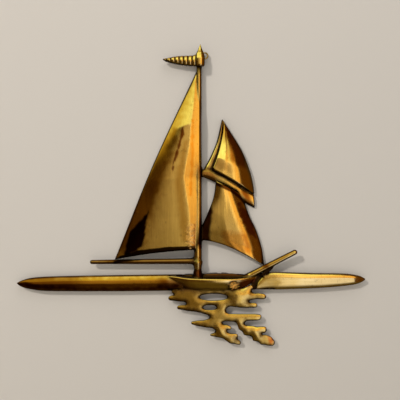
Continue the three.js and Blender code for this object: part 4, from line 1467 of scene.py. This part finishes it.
def mirrored_room(tree):
    """The colour of the room in each direction from the sculpture, in sines to the right, back and up."""
    way = linked(tree, "ShaderNodeTexCoord", {}).outputs["Generated"]
    side, back, height = linked(tree, "ShaderNodeSeparateXYZ", {"Vector": way}).outputs
    slant = total(tree, side, height)
    orange = blended(tree, ranged(tree, height, -0.08, 0.02), ORANGE_LOW, ORANGE_HIGH)
    orange = blended(tree, ranged(tree, side, 0.2, 0.31), ORANGE_EDGE, orange)
    floor = layered(
        tree, DARK_BROWN,
        (ranged(tree, slant, -0.45, -0.2), OLIVE_FLOOR),
        (ranged(tree, side, 0.04, 0.12), PALE_FLOOR),
        (ranged(tree, side, 0.16, 0.2), BLUE_FLOOR),
        (ranged(tree, side, 0.34, 0.42), DARK_WOOD),
    )
    return layered(
        tree, DIM_LOW,
        (ranged(tree, height, -0.08, 0.1), DIM_HIGH),
        # Dark at the lower left and the far left
        (ranged(tree, slant, -0.24, -0.5), DARK_BROWN),
        (ranged(tree, side, -0.45, -0.75), DARK_BROWN),
        # A bright upright line and a bright field over it
        (pane(tree, side, height, 0.025, 0.065, -0.18, 0.4, 0.012), CREAM_LINE),
        (pane(tree, side, height, -0.2, 0.2, 0.24, 0.4), CREAM_FIELD),
        # The orange field on the right with its bright left edge, and dark wood beyond and over it
        (pane(tree, side, height, 0.165, 0.21, -0.1, 0.3, 0.012), CREAM_EDGE),
        (pane(tree, side, height, 0.20, 0.49, -0.3, 0.46, 0.01), orange),
        (ranged(tree, side, 0.46, 0.56), DARK_WOOD),
        (pane(tree, side, height, 0.2, 1, 0.47, 1), DARK_WOOD),
        # The floor, dark where it is near
        (ranged(tree, height, -0.115, -0.15), floor),
        (ranged(tree, height, -0.45, -0.7), DARK_FLOOR),
        # The broad window high on the left
        (pane(tree, side, height, -0.88, 0.28, 0.36, 0.8), GREEN_WINDOW),
        # Edge on to the sculpture, and behind it
        (ranged(tree, back, -0.15, 0.2), EDGE_ON),
        (ranged(tree, back, 0.4, 0.8), BEHIND),
    )


def surroundings(scene):
    """A dim warm room for the polished metal to mirror, and plain soft light for all else."""
    world = bpy.data.worlds.new("studio")
    scene.world = world
    world.use_nodes = True
    world.cycles.sampling_method = "NONE"
    tree = world.node_tree
    tree.nodes.clear()
    gloss = linked(tree, "ShaderNodeLightPath", {}).outputs["Is Glossy Ray"]
    colour = blended(tree, gloss, SOFT_LIGHT, mirrored_room(tree))
    light = linked(tree, "ShaderNodeBackground", {"Color": colour, "Strength": 1.0})
    linked(tree, "ShaderNodeOutputWorld", {"Surface": light.outputs[0]})


class BoatFinishSettings(bpy.types.PropertyGroup):
    brass: bpy.props.FloatVectorProperty(
        name="Brass", description="Colour of clean polished brass", size=3, subtype="COLOR",
        default=(0.86, 0.62, 0.22), min=0, max=1)
    brown_brass: bpy.props.FloatVectorProperty(
        name="Brown brass", description="Colour of evenly tarnished brass", size=3, subtype="COLOR",
        default=(0.60, 0.40, 0.12), min=0, max=1)
    bare_skin: bpy.props.FloatVectorProperty(
        name="Bare skin", description="Colour of the rough patches on the front", size=3, subtype="COLOR",
        default=(1.0, 0.60, 0.20), min=0, max=1)
    # Also the colour that the inner corners are darkened towards
    dirt: bpy.props.FloatVectorProperty(
        name="Dirt", description="Colour of old polish and dirt in the corners", size=3, subtype="COLOR",
        default=(0.035, 0.018, 0.008), min=0, max=1)
    cast_skin: bpy.props.FloatVectorProperty(
        name="Cast skin", description="Colour of the unpolished back", size=3, subtype="COLOR",
        default=(0.42, 0.29, 0.13), min=0, max=1)


class BoatStudioSettings(bpy.types.PropertyGroup):
    key_power: bpy.props.FloatProperty(
        name="Key lamp", description="Power of the lamp at the upper left, in watts", default=142,
        unit="POWER")
    fill_power: bpy.props.FloatProperty(
        name="Ceiling panel", description="Power of the broad panel overhead, in watts", default=14,
        unit="POWER")
    backdrop_colour: bpy.props.FloatVectorProperty(
        name="Backdrop", description="Colour of the backdrop's paint", size=3, subtype="COLOR",
        default=(0.66, 0.62, 0.57), min=0, max=1)
    floor_colour: bpy.props.FloatVectorProperty(
        name="Floor", description="Colour of the floor", size=3, subtype="COLOR",
        default=(0.66, 0.64, 0.60), min=0, max=1)
    camera_distance: bpy.props.FloatProperty(
        name="Camera distance", description="From the backdrop to the camera", default=0.98,
        subtype="DISTANCE", unit="LENGTH")


class BOAT_PT_sculpture(bpy.types.Panel):
    """Sizes, finishes and steps of the brass sailing boat"""

    bl_idname = "BOAT_PT_sculpture"
    bl_label = "Brass sailing boat"
    bl_space_type = "VIEW_3D"
    bl_region_type = "UI"
    bl_category = "Sculpture"

    def draw(self, context):
        column = self.layout.column(align=True)
        for step in STEPS:
            column.operator(step.bl_idname)
        for name in ("boat_casting", "boat_finish", "boat_studio"):
            box = self.layout.box()
            held = getattr(context.scene, name)
            for label in held.bl_rna.properties.keys():
                if label not in ("name", "rna_type"):
                    box.prop(held, label)


STEPS = (BOAT_OT_finishes, BOAT_OT_casting, BOAT_OT_hanging_loop, BOAT_OT_stage)
SETTINGS = {"boat_casting": BoatCastingSettings, "boat_finish": BoatFinishSettings,
            "boat_studio": BoatStudioSettings}


def register():
    for cls in (*SETTINGS.values(), *STEPS, BOAT_PT_sculpture):
        bpy.utils.register_class(cls)
    for name, cls in SETTINGS.items():
        setattr(bpy.types.Scene, name, bpy.props.PointerProperty(type=cls))


def unregister():
    for name in SETTINGS:
        delattr(bpy.types.Scene, name)
    for cls in reversed((*SETTINGS.values(), *STEPS, BOAT_PT_sculpture)):
        bpy.utils.unregister_class(cls)


def main():
    register()
    bpy.ops.boat.finishes()
    bpy.ops.boat.casting()
    bpy.ops.boat.hanging_loop()
    bpy.ops.boat.stage()


if __name__ == "__main__":
    main()
